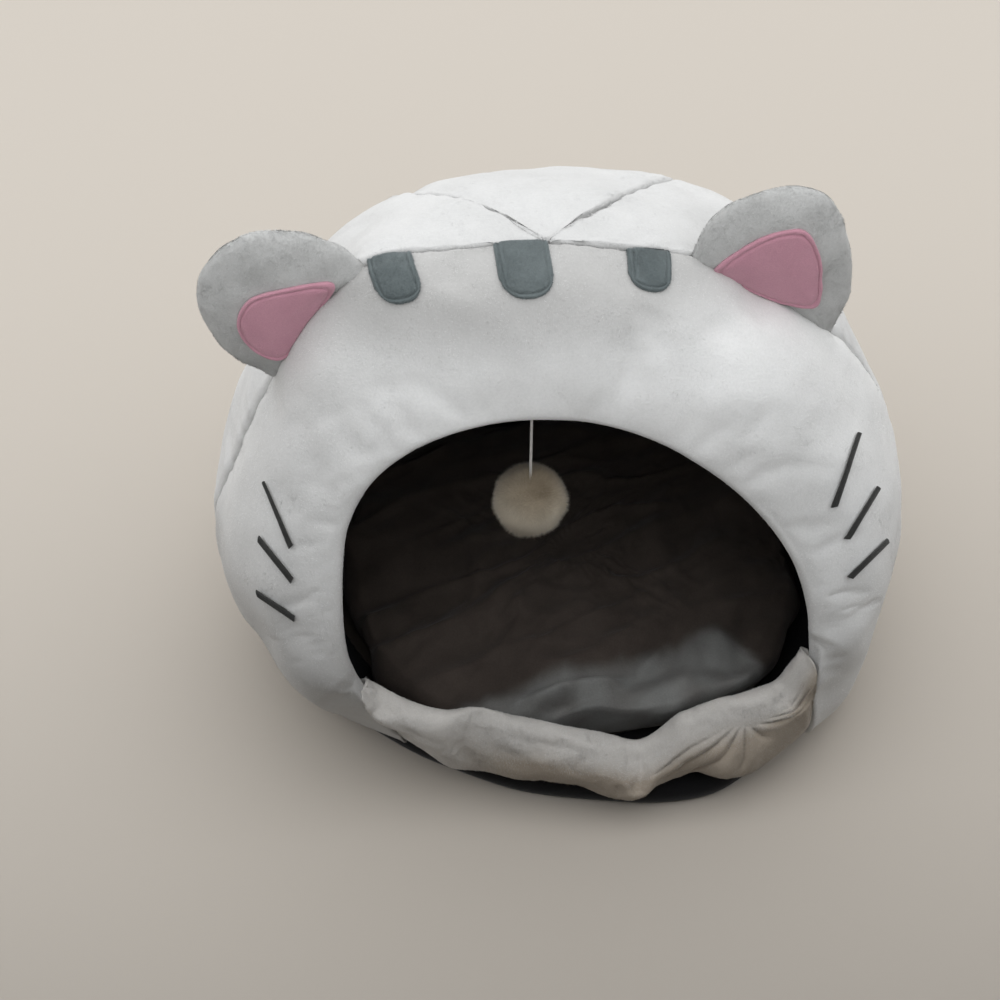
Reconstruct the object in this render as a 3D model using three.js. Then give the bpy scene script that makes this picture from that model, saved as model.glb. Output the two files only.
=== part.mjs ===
// A plush cat house: a padded dome with a wide doorway, two ears, forehead stripes and a slack front lip.
// Millimetres, +Z up, front towards -Y. The origin is the middle of the flat underside.
import * as THREE from "three";

// Driving dimensions.
const FACETS = { frontAround: 38, frontAcross: 7, lipAround: 26, roll: 3, domeUp: 12, goreAcross: 8 };
const BASE = { thickness: 12, edge: 5, around: 48 };
const BASE_OUTLINE = [ // [x, y] anticlockwise from the front
  [4, -174], [40, -180], [72, -178], [92, -169], [116, -152], [140, -133], [162, -108], [180, -72], [190, -20],
  [186, 40], [168, 88], [141, 124], [103, 149], [60, 162], [4, 165], [-52, 155], [-97, 135], [-133, 106],
  [-159, 71], [-177, 30], [-182, -20], [-170, -58], [-148, -88], [-122, -112], [-100, -130], [-79, -143],
  [-42, -162],
];
const WALL = { thickness: 17, grooveDepth: 5, grooveShare: 0.2 }; // padded walls, drawn in at their seams
const SHEET = { thickness: 1.5, clearance: 0.9 }; // linings, felts and stripes, and their way off the padding
const GAP = 0.4; // between neighbouring pieces
const FOOT_Z = BASE.thickness + GAP; // where the walls stand on the base
const SEAM_Y = -20; // the seam between front panel and dome lies in this upright plane
const DOORWAY = { floorY: -192, lean: 0.488, middleX: -5, middleZ: 150 }; // its plane: y = floorY + lean * z

// How the walls bulge. OUTWARDS weighs which way is out at a point of a wall's outer edge: sideways counts 1.
// BULGE gives the front panel's curve: its reach at each end as a share of its span, how it leaves the base,
// and how far its face lies back from the doorway's edge.
const OUTWARDS = { forward: 1.8, upward: 1.2, upwardFrom: 110 };
const BULGE = { reachOut: 0.42, reachIn: 0.3, forward: 0.14, sideways: 0.5, upwards: 0.8, setBack: 5.1 };

// The front panel, section by section, from its left foot over the doorway to its right foot.
// rimX, rimZ: the doorway's edge. outX, outY, outZ: the outer edge, on the base or in the dome seam.
// rise: 1 where the panel stands up from the base, 0 where it leaves the dome seam straight forwards.
const FRONT_SECTIONS = [
  { rimX: -131, rimZ: 97, outX: -106, outY: -134, outZ: FOOT_Z, rise: 1 },
  { rimX: -134, rimZ: 109, outX: -147, outY: -97, outZ: FOOT_Z, rise: 1 },
  { rimX: -135, rimZ: 122, outX: -169, outY: -58, outZ: FOOT_Z, rise: 0.9 },
  { rimX: -135, rimZ: 135, outX: -180, outY: SEAM_Y, outZ: FOOT_Z, rise: 0.65 },
  { rimX: -134, rimZ: 150, outX: -201, outY: SEAM_Y, outZ: 58, rise: 0.3 },
  { rimX: -132, rimZ: 167, outX: -208, outY: SEAM_Y, outZ: 112, rise: 0.1 },
  { rimX: -127, rimZ: 187, outX: -194, outY: SEAM_Y, outZ: 165, rise: 0 },
  { rimX: -113, rimZ: 208, outX: -168, outY: SEAM_Y, outZ: 222, rise: 0 },
  { rimX: -88, rimZ: 224, outX: -134, outY: SEAM_Y, outZ: 276, rise: 0 },
  { rimX: -56, rimZ: 232, outX: -82, outY: SEAM_Y, outZ: 305, rise: 0 },
  { rimX: -22, rimZ: 233, outX: -22, outY: SEAM_Y, outZ: 312, rise: 0 },
  { rimX: 12, rimZ: 227, outX: 40, outY: SEAM_Y, outZ: 300, rise: 0 },
  { rimX: 44, rimZ: 214, outX: 94, outY: SEAM_Y, outZ: 274, rise: 0 },
  { rimX: 74, rimZ: 194, outX: 141, outY: SEAM_Y, outZ: 239, rise: 0 },
  { rimX: 98, rimZ: 171, outX: 176, outY: SEAM_Y, outZ: 196, rise: 0 },
  { rimX: 115, rimZ: 147, outX: 198, outY: SEAM_Y, outZ: 148, rise: 0 },
  { rimX: 122, rimZ: 130, outX: 208, outY: SEAM_Y, outZ: 100, rise: 0.1 },
  { rimX: 125, rimZ: 119, outX: 203, outY: SEAM_Y, outZ: 54, rise: 0.3 },
  { rimX: 127, rimZ: 110, outX: 189, outY: SEAM_Y, outZ: FOOT_Z, rise: 0.65 },
  { rimX: 128, rimZ: 103, outX: 170, outY: -100, outZ: FOOT_Z, rise: 0.9 },
  { rimX: 128, rimZ: 96, outX: 130, outY: -153, outZ: FOOT_Z, rise: 1 },
];
const SEAM_ROWS = { left: 3, top: 10.15, right: 18 }; // where the dome seam starts, crests and ends

// The front lip, from its left end to its right end. facing: the way it faces, in degrees round Z.
// reach, crestZ: how far its rolled crest stands before its foot, and how high. bulge: its belly.
const LIP_SECTIONS = [
  { footX: -109.4, footY: -127.6, facing: -134, reach: 26, crestZ: 92, bulge: 14 },
  { footX: -86, footY: -146, facing: -118, reach: 12, crestZ: 86, bulge: 20 },
  { footX: -62, footY: -152, facing: -102, reach: 4, crestZ: 76, bulge: 26 },
  { footX: -30, footY: -158, facing: -94, reach: 4, crestZ: 65, bulge: 32 },
  { footX: 0, footY: -160, facing: -90, reach: 8, crestZ: 54, bulge: 38 },
  { footX: 28, footY: -160, facing: -88, reach: 10, crestZ: 47, bulge: 42 },
  { footX: 58, footY: -157, facing: -82, reach: 8, crestZ: 56, bulge: 40 },
  { footX: 90, footY: -151, facing: -68, reach: 6, crestZ: 74, bulge: 36 },
  { footX: 123.2, footY: -139, facing: -48, reach: 8, crestZ: 92, bulge: 22 },
];
const LIP_ENDS = 0.14; // the share of the lip over which each end takes on the front panel's section
// The lip's curve: how far its belly rises, and its crest hangs, as shares of the bulge and of the height.
const LIP_CURVE = { bellyRise: 0.15, crestBulge: 0.45, crestHang: 0.35, crestDrop: 0.3, crestInset: 0.95 };

// The dome behind the seam. corner squares its plan, and skew leans it to the right.
// Its depth falls off by depthLoss up to its height, by the power of lossPower.
const DOME = { corner: 2.3, depthLoss: 0.17, lossPower: 3, skew: 0.1, height: 312, apex: 0.996 };
const DOME_ROW_POWER = 0.85;
const GORE_SEAMS = [0, 57, 128, 180]; // degrees round the dome, left to right

// The ears stand in the plane of the dome seam, on the stretch between two sections of the front panel.
const EAR = { rimHalf: 3.5, crown: 5, sunk: 3.7, middleY: SEAM_Y };
const EAR_SHAPES = [
  {
    side: "left",
    base: [8.45, 7.15],
    outline: [
      [-184, 251], [-192, 271], [-194, 289], [-191, 303], [-179, 320], [-162, 329], [-142, 329], [-123, 321],
    ],
    felt: [[-163, 253], [-169, 258], [-174.5, 271], [-174, 283], [-167, 295], [-156, 299.5], [-128, 298.5]],
  },
  {
    side: "right",
    base: [13.35, 11.45],
    outline: [[68, 305], [81, 323], [97, 330], [112, 332], [128, 328], [140, 315], [151, 286], [156, 256]],
    felt: [[79, 289], [92, 304], [110, 312], [121, 310], [131, 293], [135, 275], [131, 261]],
  },
];

// Forehead stripes: from and to along the front panel's sections, and how far they run down from the seam.
// Their ends are rounded over the last part of that length.
const STRIPE_ROUND = 0.38;
const STRIPES = [
  { name: "stripe_left", from: 8.57, to: 9.01, length: 0.27 },
  { name: "stripe_middle", from: 9.7, to: 10.16, length: 0.33 },
  { name: "stripe_right", from: 10.84, to: 11.22, length: 0.25 },
];

const CUSHION = { middleX: 8, middleY: -14, halfWidth: 133, halfDepth: 121, corner: 2.6 };
const CUSHION_LEVELS = [
  { z: 0, share: 0.9 },
  { z: 6, share: 0.97 },
  { z: 14, share: 1 },
  { z: 23, share: 0.97 },
  { z: 30, share: 0.88 },
  { z: 34, share: 0.7 },
  { z: 36, share: 0.4 },
  { z: 37, share: 0.12 },
];
const FLOOR_LINING = { middleX: 7, middleY: 2, halfWidth: 152, halfDepth: 137, corner: 2 };

const POMPOM = { x: -25, y: -64, z: 156, radius: 22, notch: 7, notchRadius: 5, notchFloor: 1.6 };
const STRING = { radius: 0.8, topZ: 226.1, sides: 8 };

const vec = (x, y, z) => new THREE.Vector3(x, y, z);
const { lerp, degToRad, smoothstep } = THREE.MathUtils;
const steps = (count, from = 0, to = 1) =>
  Array.from({ length: count + 1 }, (_, i) => lerp(from, to, i / count));

// Skins a list of closed rings and caps both ends by the given triangles of ring indices.
function loft(rings, capTriangles) {
  const around = rings[0].length;
  const index = [];
  for (let i = 0; i + 1 < rings.length; i++) {
    for (let j = 0; j < around; j++) {
      const next = (j + 1) % around;
      const near = i * around;
      const far = near + around;
      index.push(near + j, near + next, far + next, near + j, far + next, far + j);
    }
  }
  const lastRing = (rings.length - 1) * around;
  for (const [a, b, c] of capTriangles) {
    index.push(c, b, a, lastRing + a, lastRing + b, lastRing + c);
  }
  const points = rings.flat();
  const geometry = new THREE.BufferGeometry().setFromPoints(points);
  geometry.setIndex(signedVolume(points, index) < 0 ? index.reverse() : index);
  geometry.computeVertexNormals();
  return geometry;
}

// Six times the volume inside the triangles, negative where they face inwards.
function signedVolume(points, index) {
  let volume = 0;
  for (let i = 0; i < index.length; i += 3) {
    const [a, b, c] = [points[index[i]], points[index[i + 1]], points[index[i + 2]]];
    volume += a.dot(b.clone().cross(c));
  }
  return volume;
}

// Cap of a ring that runs out along one face (0 to last), round an edge, and back along the other face.
function foldedCap(ringSize, last) {
  const triangles = [];
  const mirror = (j) => ringSize - 1 - j;
  for (let j = 0; j < last; j++) {
    triangles.push([j, j + 1, mirror(j + 1)], [j, mirror(j + 1), mirror(j)]);
  }
  for (let j = last + 1; j < mirror(last); j++) {
    triangles.push([last, j, j + 1]);
  }
  return triangles;
}

// Cap of a ring as a fan round its first point.
const fanCap = (ringSize) => Array.from({ length: ringSize - 2 }, (_, j) => [0, j + 1, j + 2]);

// A closed wall between two depths of a surface(a, b, inset); outer and inner give the inset at a, b.
// A rolled edge ends its b = 1 side in a half round.
function wall({ surface, aSteps, bSteps, outer, inner, rolledEdge = 0 }) {
  const last = bSteps.length - 1;
  const rings = aSteps.map((a) => {
    const out = bSteps.map((b) => surface(a, b, outer(a, b)));
    const back = bSteps.map((b) => surface(a, b, inner(a, b)));
    const middle = out[last].clone().add(back[last]).multiplyScalar(0.5);
    const radial = out[last].clone().sub(middle);
    const onward = out[last].clone().sub(out[last - 1]);
    onward.addScaledVector(radial, -onward.dot(radial) / radial.lengthSq()).setLength(radial.length());
    const roll = steps(rolledEdge + 1, 0, Math.PI).slice(1, -1).map((angle) =>
      middle.clone().addScaledVector(radial, Math.cos(angle)).addScaledVector(onward, Math.sin(angle)));
    return [...out, ...(rolledEdge ? roll : []), ...back.reverse()];
  });
  return loft(rings, foldedCap(rings[0].length, last));
}

// A thin sheet along such a surface; near gives its outer side's inset.
const sheetOn = ({ surface, aSteps, bSteps, near }) => wall({
  surface,
  aSteps,
  bSteps,
  outer: near,
  inner: () => near() + SHEET.thickness,
});

const rimCurve = new THREE.CatmullRomCurve3(
  FRONT_SECTIONS.map((r) => vec(r.rimX, DOORWAY.floorY + DOORWAY.lean * r.rimZ, r.rimZ)));
const outCurve = new THREE.CatmullRomCurve3(FRONT_SECTIONS.map((r) => vec(r.outX, r.outY, r.outZ)));
const riseCurve = new THREE.CatmullRomCurve3(FRONT_SECTIONS.map((r) => vec(r.rise, 0, 0)));
const doorwayNormal = vec(0, -1, DOORWAY.lean).normalize();
const doorwayMiddle = vec(DOORWAY.middleX, DOORWAY.floorY + DOORWAY.lean * DOORWAY.middleZ, DOORWAY.middleZ);
const share = (row) => row / (FRONT_SECTIONS.length - 1);

// Which way is out, at a point of the panel's outer edge: sideways on the base, radial on the seam.
const outwards = (p) => vec(
  p.x,
  (p.y - SEAM_Y) * OUTWARDS.forward,
  Math.max(p.z - OUTWARDS.upwardFrom, 0) * OUTWARDS.upward,
).normalize();

// The panel's outer edge at a depth under the plush.
function edgePoint(a, inset) {
  const p = outCurve.getPoint(a);
  p.set(p.x, Math.min(p.y, SEAM_Y), Math.max(p.z, FOOT_Z));
  return p.addScaledVector(outwards(p), -inset);
}

// The front panel at a depth under its plush: a runs along the sections, b from outer edge to doorway.
function frontSurface(a, b, inset) {
  const out = outwards(outCurve.getPoint(a));
  const from = edgePoint(a, inset).add(vec(0, -GAP / 2, 0));
  const rim = rimCurve.getPoint(a);
  const away = rimCurve.getTangent(a).cross(doorwayNormal).normalize();
  away.multiplyScalar(Math.sign(away.dot(rim.clone().sub(doorwayMiddle))));
  const to = rim.addScaledVector(away, BULGE.setBack).addScaledVector(doorwayNormal, -inset);
  const span = from.distanceTo(to);
  const rise = riseCurve.getPoint(a).x;
  const standing = vec(out.x * BULGE.sideways, out.y * BULGE.sideways, BULGE.upwards);
  const start = vec(0, -1, 0).lerp(standing, rise);
  const end = away.lerp(out, rise * BULGE.upwards).multiplyScalar(span * BULGE.reachIn);
  end.addScaledVector(doorwayNormal, span * BULGE.forward);
  return new THREE.CubicBezierCurve3(
    from,
    from.clone().addScaledVector(start, span * BULGE.reachOut),
    to.clone().add(end),
    to,
  ).getPoint(b);
}

// The dome at a depth under its plush: u from the foot to the crest, angle round from left to right.
function domeSurface(u, angle, inset) {
  const left = edgePoint(lerp(share(SEAM_ROWS.left), share(SEAM_ROWS.top), u), inset);
  const right = edgePoint(lerp(share(SEAM_ROWS.right), share(SEAM_ROWS.top), u), inset);
  const middle = left.clone().add(right).multiplyScalar(0.5);
  const half = right.clone().sub(left).multiplyScalar(0.5);
  const depth = half.length() * (1 - DOME.depthLoss * (middle.z / DOME.height) ** DOME.lossPower);
  const power = 2 / DOME.corner;
  const across = Math.sign(Math.cos(angle)) * Math.abs(Math.cos(angle)) ** power;
  const back = (1 - DOME.skew * Math.cos(angle)) * Math.max(Math.sin(angle), 0) ** power;
  return middle.addScaledVector(half, -across).add(vec(0, GAP / 2 + depth * back, 0));
}

// How far a wall's outer face is drawn in, at a distance from its seam given as a share of the wall.
const groove = (distance) => WALL.grooveDepth * (1 - smoothstep(distance, 0, WALL.grooveShare));

const parts = new THREE.Group();
const plush = (color) => new THREE.MeshStandardMaterial({ color, roughness: 0.95, metalness: 0 });
const materials = {
  greyPlush: plush(0xb9bcb8),
  darkPlush: plush(0x68706f),
  pinkFelt: plush(0xcf93ab),
  darkLining: plush(0x2f2927),
  blackBase: plush(0x17171a),
  whitePile: plush(0xe8e2d8),
};

function place(name, geometry, material, position = vec(0, 0, 0)) {
  const mesh = new THREE.Mesh(geometry, material);
  mesh.name = name;
  mesh.position.copy(position);
  parts.add(mesh);
}

// A level ring of a rounded outline, scaled by share and raised to z.
function levelRing(outline, around, z, share = 1) {
  const { middleX = 0, middleY = 0, halfWidth, halfDepth, corner = 2 } = outline;
  const bend = (t) => Math.sign(t) * Math.abs(t) ** (2 / corner);
  return steps(around, 0, 2 * Math.PI).slice(0, -1).map((t) =>
    vec(middleX + halfWidth * share * bend(Math.cos(t)), middleY + halfDepth * share * bend(Math.sin(t)), z));
}

// The base: a flat pad with rounded edges.
function basePad() {
  const levels = [
    { z: 0, inset: BASE.edge },
    { z: BASE.edge * 0.4, inset: BASE.edge * 0.3 },
    { z: BASE.thickness / 2, inset: 0 },
    { z: BASE.thickness - BASE.edge * 0.4, inset: BASE.edge * 0.3 },
    { z: BASE.thickness, inset: BASE.edge },
  ];
  const corners = BASE_OUTLINE.map(([x, y]) => vec(x, y, 0));
  const edge = new THREE.CatmullRomCurve3(corners, true).getSpacedPoints(BASE.around).slice(0, -1);
  const rings = levels.map(({ z, inset }) =>
    edge.map((p) => p.clone().setLength(p.length() - inset).setZ(z)));
  return loft(rings, fanCap(BASE.around));
}

function frontPanel() {
  return wall({
    surface: frontSurface,
    aSteps: steps(FACETS.frontAround),
    bSteps: steps(FACETS.frontAcross),
    outer: (a, b) => groove(b),
    inner: () => WALL.thickness,
    rolledEdge: FACETS.roll,
  });
}

// The dome's rows, closer together towards the foot, where it curves most.
const domeRows = steps(FACETS.domeUp).map((t) => DOME.apex * t ** DOME_ROW_POWER);

// One gore of the dome, between two of the seams that meet at the crest.
function gore(index) {
  const from = degToRad(GORE_SEAMS[index]);
  const to = degToRad(GORE_SEAMS[index + 1]);
  const clearAt = (u) => 0.8 * GAP / domeSurface(u, 0, 0).distanceTo(domeSurface(u, Math.PI, 0)) * 2;
  const surface = (u, b, inset) => {
    const first = from + (index > 0 ? clearAt(u) : 0);
    const second = to - (index < 2 ? clearAt(u) : 0);
    return domeSurface(u, lerp(first, second, b), inset);
  };
  return wall({
    surface,
    aSteps: domeRows,
    bSteps: steps(FACETS.goreAcross),
    outer: (u, b) => groove(Math.min(b, 1 - b)),
    inner: () => WALL.thickness,
  });
}

const lipCurve = (key) => new THREE.CatmullRomCurve3(LIP_SECTIONS.map((r) => vec(...key(r))));
const lipFoot = lipCurve((r) => [r.footX, r.footY, FOOT_Z]);
const lipShape = lipCurve((r) => [r.reach, r.crestZ, r.bulge]);
const lipFacing = lipCurve((r) => [r.facing, 0, 0]);

// The lip between its ends at a depth under its plush: a from left to right, b from foot to crest.
function lipMiddle(a, b, inset) {
  const angle = degToRad(lipFacing.getPoint(a).x);
  const out = vec(Math.cos(angle), Math.sin(angle), 0);
  const shape = lipShape.getPoint(a);
  const from = lipFoot.getPoint(a).addScaledVector(out, -inset);
  const to = lipFoot.getPoint(a)
    .addScaledVector(out, shape.x - inset * LIP_CURVE.crestInset)
    .setZ(shape.y - inset * LIP_CURVE.crestDrop);
  const height = to.z - from.z;
  return new THREE.CubicBezierCurve3(
    from,
    from.clone().addScaledVector(out, shape.z).add(vec(0, 0, height * LIP_CURVE.bellyRise)),
    to.clone()
      .addScaledVector(out, shape.z * LIP_CURVE.crestBulge)
      .add(vec(0, 0, -height * LIP_CURVE.crestHang)),
    to,
  ).getPoint(b);
}

// The whole lip: each end meets the front panel face to face, a gap apart.
function lipSurface(a, b, inset) {
  const end = Math.round(a);
  const meeting = frontSurface(end, b, inset).addScaledVector(vec(end ? -0.87 : 0.87, -0.5, 0), GAP * 1.5);
  return lipMiddle(a, b, inset).lerp(meeting, 1 - smoothstep(Math.abs(a - end), 0, LIP_ENDS));
}

function frontLip() {
  return wall({
    surface: lipSurface,
    aSteps: steps(FACETS.lipAround),
    bSteps: steps(FACETS.frontAcross),
    outer: (a, b) => groove(b),
    inner: () => WALL.thickness,
    rolledEdge: FACETS.roll,
  });
}

// The ear's closed outline in the seam plane: its base lies along the seam, drawn a little into its groove.
function earOutline({ base, outline }) {
  const foot = steps(6, share(base[0]), share(base[1])).map((a) => edgePoint(a, EAR.sunk));
  const middle = outline.map(([x, z]) => vec(x, SEAM_Y, z));
  const around = new THREE.CatmullRomCurve3([foot[6], ...middle, foot[0]]).getPoints(20).slice(1, -1);
  return [...foot, ...around];
}

const centreOf = (points) =>
  points.reduce((sum, p) => sum.add(p), vec(0, 0, 0)).divideScalar(points.length);

// How thick half an ear is, at a share of the way from its centre to its outline.
const earHalf = (r) => EAR.rimHalf + EAR.crown * Math.sqrt(Math.max(1 - r ** 2.4, 0));

function ear(shape) {
  const outline = earOutline(shape);
  const centre = centreOf(outline);
  const shares = [0.15, 0.5, 0.75, 0.91, 1];
  const ring = (r, side) => outline.map((p) =>
    centre.clone().lerp(p, r).setY(EAR.middleY + side * earHalf(r)));
  const front = shares.map((r) => ring(r, -1));
  const back = shares.map((r) => ring(r, 1)).reverse();
  return loft([...front, ...back], fanCap(outline.length));
}

// The share of the way from the ear's centre to its outline at which a point of its plane lies.
function earShare(outline, centre, point) {
  const away = point.clone().sub(centre);
  const crossings = outline.map((p, i) => {
    const q = outline[(i + 1) % outline.length];
    const edge = q.clone().sub(p);
    const toEdge = p.clone().sub(centre);
    const turn = away.x * edge.z - away.z * edge.x;
    const reach = (toEdge.x * edge.z - toEdge.z * edge.x) / turn;
    const along = (toEdge.x * away.z - toEdge.z * away.x) / turn;
    return along >= 0 && along <= 1 && reach > 0 ? 1 / reach : 0;
  });
  return Math.max(...crossings);
}

// The felt inside an ear: a sheet on the ear's front face.
function earFelt(shape) {
  const outline = earOutline(shape);
  const centre = centreOf(outline);
  const corners = shape.felt.map(([x, z]) => vec(x, SEAM_Y, z));
  const edge = new THREE.CatmullRomCurve3(corners, true).getPoints(22).slice(0, -1);
  const middle = centreOf(edge);
  const face = (point, rise) => {
    const half = earHalf(earShare(outline, centre, point));
    return point.clone().setY(EAR.middleY - half - SHEET.clearance - rise);
  };
  const ring = (r, rise) => edge.map((p) => face(middle.clone().lerp(p, r), rise));
  const shares = [0.15, 0.6, 1];
  return loft([
    ...shares.map((r) => ring(r, SHEET.thickness)),
    ...shares.map((r) => ring(r, 0)).reverse(),
  ], fanCap(edge.length));
}

// A stripe: a sheet on the front panel, from the seam down to a rounded end.
function stripe({ from, to, length }) {
  const surface = (a, b, inset) => {
    const t = lerp(-1, 1, a);
    const end = length * (1 - STRIPE_ROUND + STRIPE_ROUND * Math.sqrt(1 - t * t));
    const depth = b * end;
    return frontSurface(share(lerp(from, to, a)), depth, inset + groove(depth));
  };
  const near = () => -SHEET.clearance - SHEET.thickness;
  return sheetOn({ surface, aSteps: steps(8), bSteps: steps(6), near });
}

function liningFront() {
  return sheetOn({
    surface: frontSurface,
    aSteps: steps(FACETS.frontAround),
    bSteps: steps(FACETS.frontAcross).slice(0, -1),
    near: () => WALL.thickness + SHEET.clearance * 1.7,
  });
}

function liningDome() {
  const angles = [0, 1, 2].flatMap((i) =>
    steps(FACETS.goreAcross, GORE_SEAMS[i], GORE_SEAMS[i + 1]).slice(i > 0 ? 1 : 0));
  return sheetOn({
    surface: (u, angle, inset) => domeSurface(u, degToRad(angle), inset),
    aSteps: domeRows.slice(0, -1),
    bSteps: angles,
    near: () => WALL.thickness + SHEET.clearance,
  });
}

function liningFloor() {
  const around = 40;
  const rings = [FOOT_Z, FOOT_Z + SHEET.thickness].map((z) => levelRing(FLOOR_LINING, around, z));
  return loft(rings, fanCap(around));
}

function cushion() {
  const around = 32;
  const floor = FOOT_Z + SHEET.thickness + GAP;
  const rings = CUSHION_LEVELS.map(({ z, share: size }) => levelRing(CUSHION, around, floor + z, size));
  return loft(rings, fanCap(around));
}

// The pompom: a ball with a notch at its top, into which the string runs.
function pompom() {
  const start = Math.asin(POMPOM.notchRadius / POMPOM.radius);
  const ball = steps(10, start, Math.PI).slice(0, -1).map((t) =>
    new THREE.Vector2(POMPOM.radius * Math.sin(t), POMPOM.radius * Math.cos(t)));
  const floor = POMPOM.radius - POMPOM.notch;
  const notch = [0, POMPOM.notchFloor].map((r) => new THREE.Vector2(r, floor));
  const profile = [...notch, ...ball, new THREE.Vector2(0, -POMPOM.radius)].reverse();
  return new THREE.LatheGeometry(profile, 16).rotateX(Math.PI / 2);
}

function pompomString() {
  const circle = new THREE.Shape().absarc(0, 0, STRING.radius, 0, 2 * Math.PI);
  const bottomZ = POMPOM.z + POMPOM.radius - POMPOM.notch + GAP;
  const path = new THREE.LineCurve3(vec(POMPOM.x, POMPOM.y, STRING.topZ), vec(POMPOM.x, POMPOM.y, bottomZ));
  return new THREE.ExtrudeGeometry(circle, { extrudePath: path, steps: 6, curveSegments: STRING.sides / 2 });
}

place("base_pad", basePad(), materials.blackBase);
place("front_panel", frontPanel(), materials.greyPlush);
["side_panel_left", "back_panel", "side_panel_right"].forEach((name, i) =>
  place(name, gore(i), materials.greyPlush));
place("front_lip", frontLip(), materials.greyPlush);
for (const shape of EAR_SHAPES) {
  place("ear_" + shape.side, ear(shape), materials.greyPlush);
  place("ear_felt_" + shape.side, earFelt(shape), materials.pinkFelt);
}
for (const shape of STRIPES) {
  place(shape.name, stripe(shape), materials.darkPlush);
}
place("lining_front", liningFront(), materials.darkLining);
place("lining_dome", liningDome(), materials.darkLining);
place("lining_floor", liningFloor(), materials.darkLining);
place("cushion", cushion(), materials.greyPlush);
place("pompom", pompom(), materials.whitePile, vec(POMPOM.x, POMPOM.y, POMPOM.z));
place("pompom_string", pompomString(), materials.whitePile);

export default parts;
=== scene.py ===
import math

import bpy
import numpy as np
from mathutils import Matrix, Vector


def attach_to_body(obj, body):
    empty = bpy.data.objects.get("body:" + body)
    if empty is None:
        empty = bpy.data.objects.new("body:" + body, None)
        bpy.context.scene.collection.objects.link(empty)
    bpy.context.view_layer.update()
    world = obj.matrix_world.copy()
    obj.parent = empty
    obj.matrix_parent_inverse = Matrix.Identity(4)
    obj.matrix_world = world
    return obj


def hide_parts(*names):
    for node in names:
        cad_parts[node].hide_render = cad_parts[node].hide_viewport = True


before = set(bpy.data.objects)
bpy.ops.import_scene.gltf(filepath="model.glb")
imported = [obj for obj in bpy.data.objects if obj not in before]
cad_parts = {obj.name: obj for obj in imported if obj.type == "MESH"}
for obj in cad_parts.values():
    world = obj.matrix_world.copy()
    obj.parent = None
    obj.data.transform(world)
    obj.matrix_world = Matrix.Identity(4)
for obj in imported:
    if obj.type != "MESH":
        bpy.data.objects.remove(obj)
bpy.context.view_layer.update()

MM = 0.001  # the tables and shape functions below are in millimetres, the meshes in metres

# The shape of the walls, section by section, as in the CAD source.
GAP = 0.4
FOOT_Z = 12.4
SEAM_Y = -20.0
WALL = 17.0
FRONT_SECTIONS = (  # rimX, rimZ, outX, outY, outZ, rise
    (-131, 97, -106, -134, FOOT_Z, 1), (-134, 109, -147, -97, FOOT_Z, 1),
    (-135, 122, -169, -58, FOOT_Z, 0.9), (-135, 135, -180, SEAM_Y, FOOT_Z, 0.65),
    (-134, 150, -201, SEAM_Y, 58, 0.3), (-132, 167, -208, SEAM_Y, 112, 0.1),
    (-127, 187, -194, SEAM_Y, 165, 0), (-113, 208, -168, SEAM_Y, 222, 0), (-88, 224, -134, SEAM_Y, 276, 0),
    (-56, 232, -82, SEAM_Y, 305, 0), (-22, 233, -22, SEAM_Y, 312, 0), (12, 227, 40, SEAM_Y, 300, 0),
    (44, 214, 94, SEAM_Y, 274, 0), (74, 194, 141, SEAM_Y, 239, 0), (98, 171, 176, SEAM_Y, 196, 0),
    (115, 147, 198, SEAM_Y, 148, 0), (122, 130, 208, SEAM_Y, 100, 0.1), (125, 119, 203, SEAM_Y, 54, 0.3),
    (127, 110, 189, SEAM_Y, FOOT_Z, 0.65), (128, 103, 170, -100, FOOT_Z, 0.9),
    (128, 96, 130, -153, FOOT_Z, 1),
)
LAST_SECTION = len(FRONT_SECTIONS) - 1
SEAM_ROWS = {"left": 3, "top": 10.15, "right": 18}
LIP_SECTIONS = (  # footX, footY, facing, reach, crestZ, bulge
    (-109.4, -127.6, -134, 26, 92, 14), (-86, -146, -118, 12, 86, 20), (-62, -152, -102, 4, 76, 26),
    (-30, -158, -94, 4, 65, 32), (0, -160, -90, 8, 54, 38), (28, -160, -88, 10, 47, 42),
    (58, -157, -82, 8, 56, 40), (90, -151, -68, 6, 74, 36), (123.2, -139, -48, 8, 92, 22),
)
LIP_ENDS = 0.14
GORES = (  # name, from, to in degrees round the dome, depth under the plush before it swells
    ("side_panel_left", 0, 57, 3.4), ("back_panel", 57, 128, 4.0), ("side_panel_right", 128, 180, 3.6),
)
SETTLED = (  # where the cloth has settled out of its even shape: centre, radius, shift
    ((-106, -20, 302), 36, (-5, 0, 12.5)),
    ((-130, -150, 45), 38, (5, 8, 2)),
    ((-138, -157, 88), 22, (8, 9, 2)),
    ((137, -148, 60), 24, (-6, 1, 0)),
    ((139, -160, 85), 24, (-6, 3, 0)),
    ((158, -128, 22), 30, (3, -7, 0)),
    ((12, 88, 270), 40, (0, 0, -3)),
    ((72, -20, 288), 26, (0, 0, 5)),
    ((98, 62, 262), 42, (0, 0, 6)),
)
EARS = {
    "left": {
        "base": (8.62, 7.15),
        "outline": ((-184, 251), (-192, 271), (-194, 289), (-191, 303), (-179, 320), (-162, 329),
                    (-142, 329), (-126, 322.5), (-116, 315)),
        "felt": ((-160, 250), (-169, 258), (-174.5, 271), (-174, 283), (-167, 295), (-156, 299.5),
                 (-123, 299.5), (-138, 271), (-153, 249)),
    },
    "right": {
        "base": (13.35, 11.45),
        "outline": ((68, 305), (81, 323), (97, 330), (112, 332), (128, 328), (140, 315), (151, 286),
                    (156, 256)),
        "felt": ((76, 284), (92, 304), (110, 312), (121, 310), (131, 293), (135, 275), (135, 255),
                 (118, 256), (96, 268)),
    },
}
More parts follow.
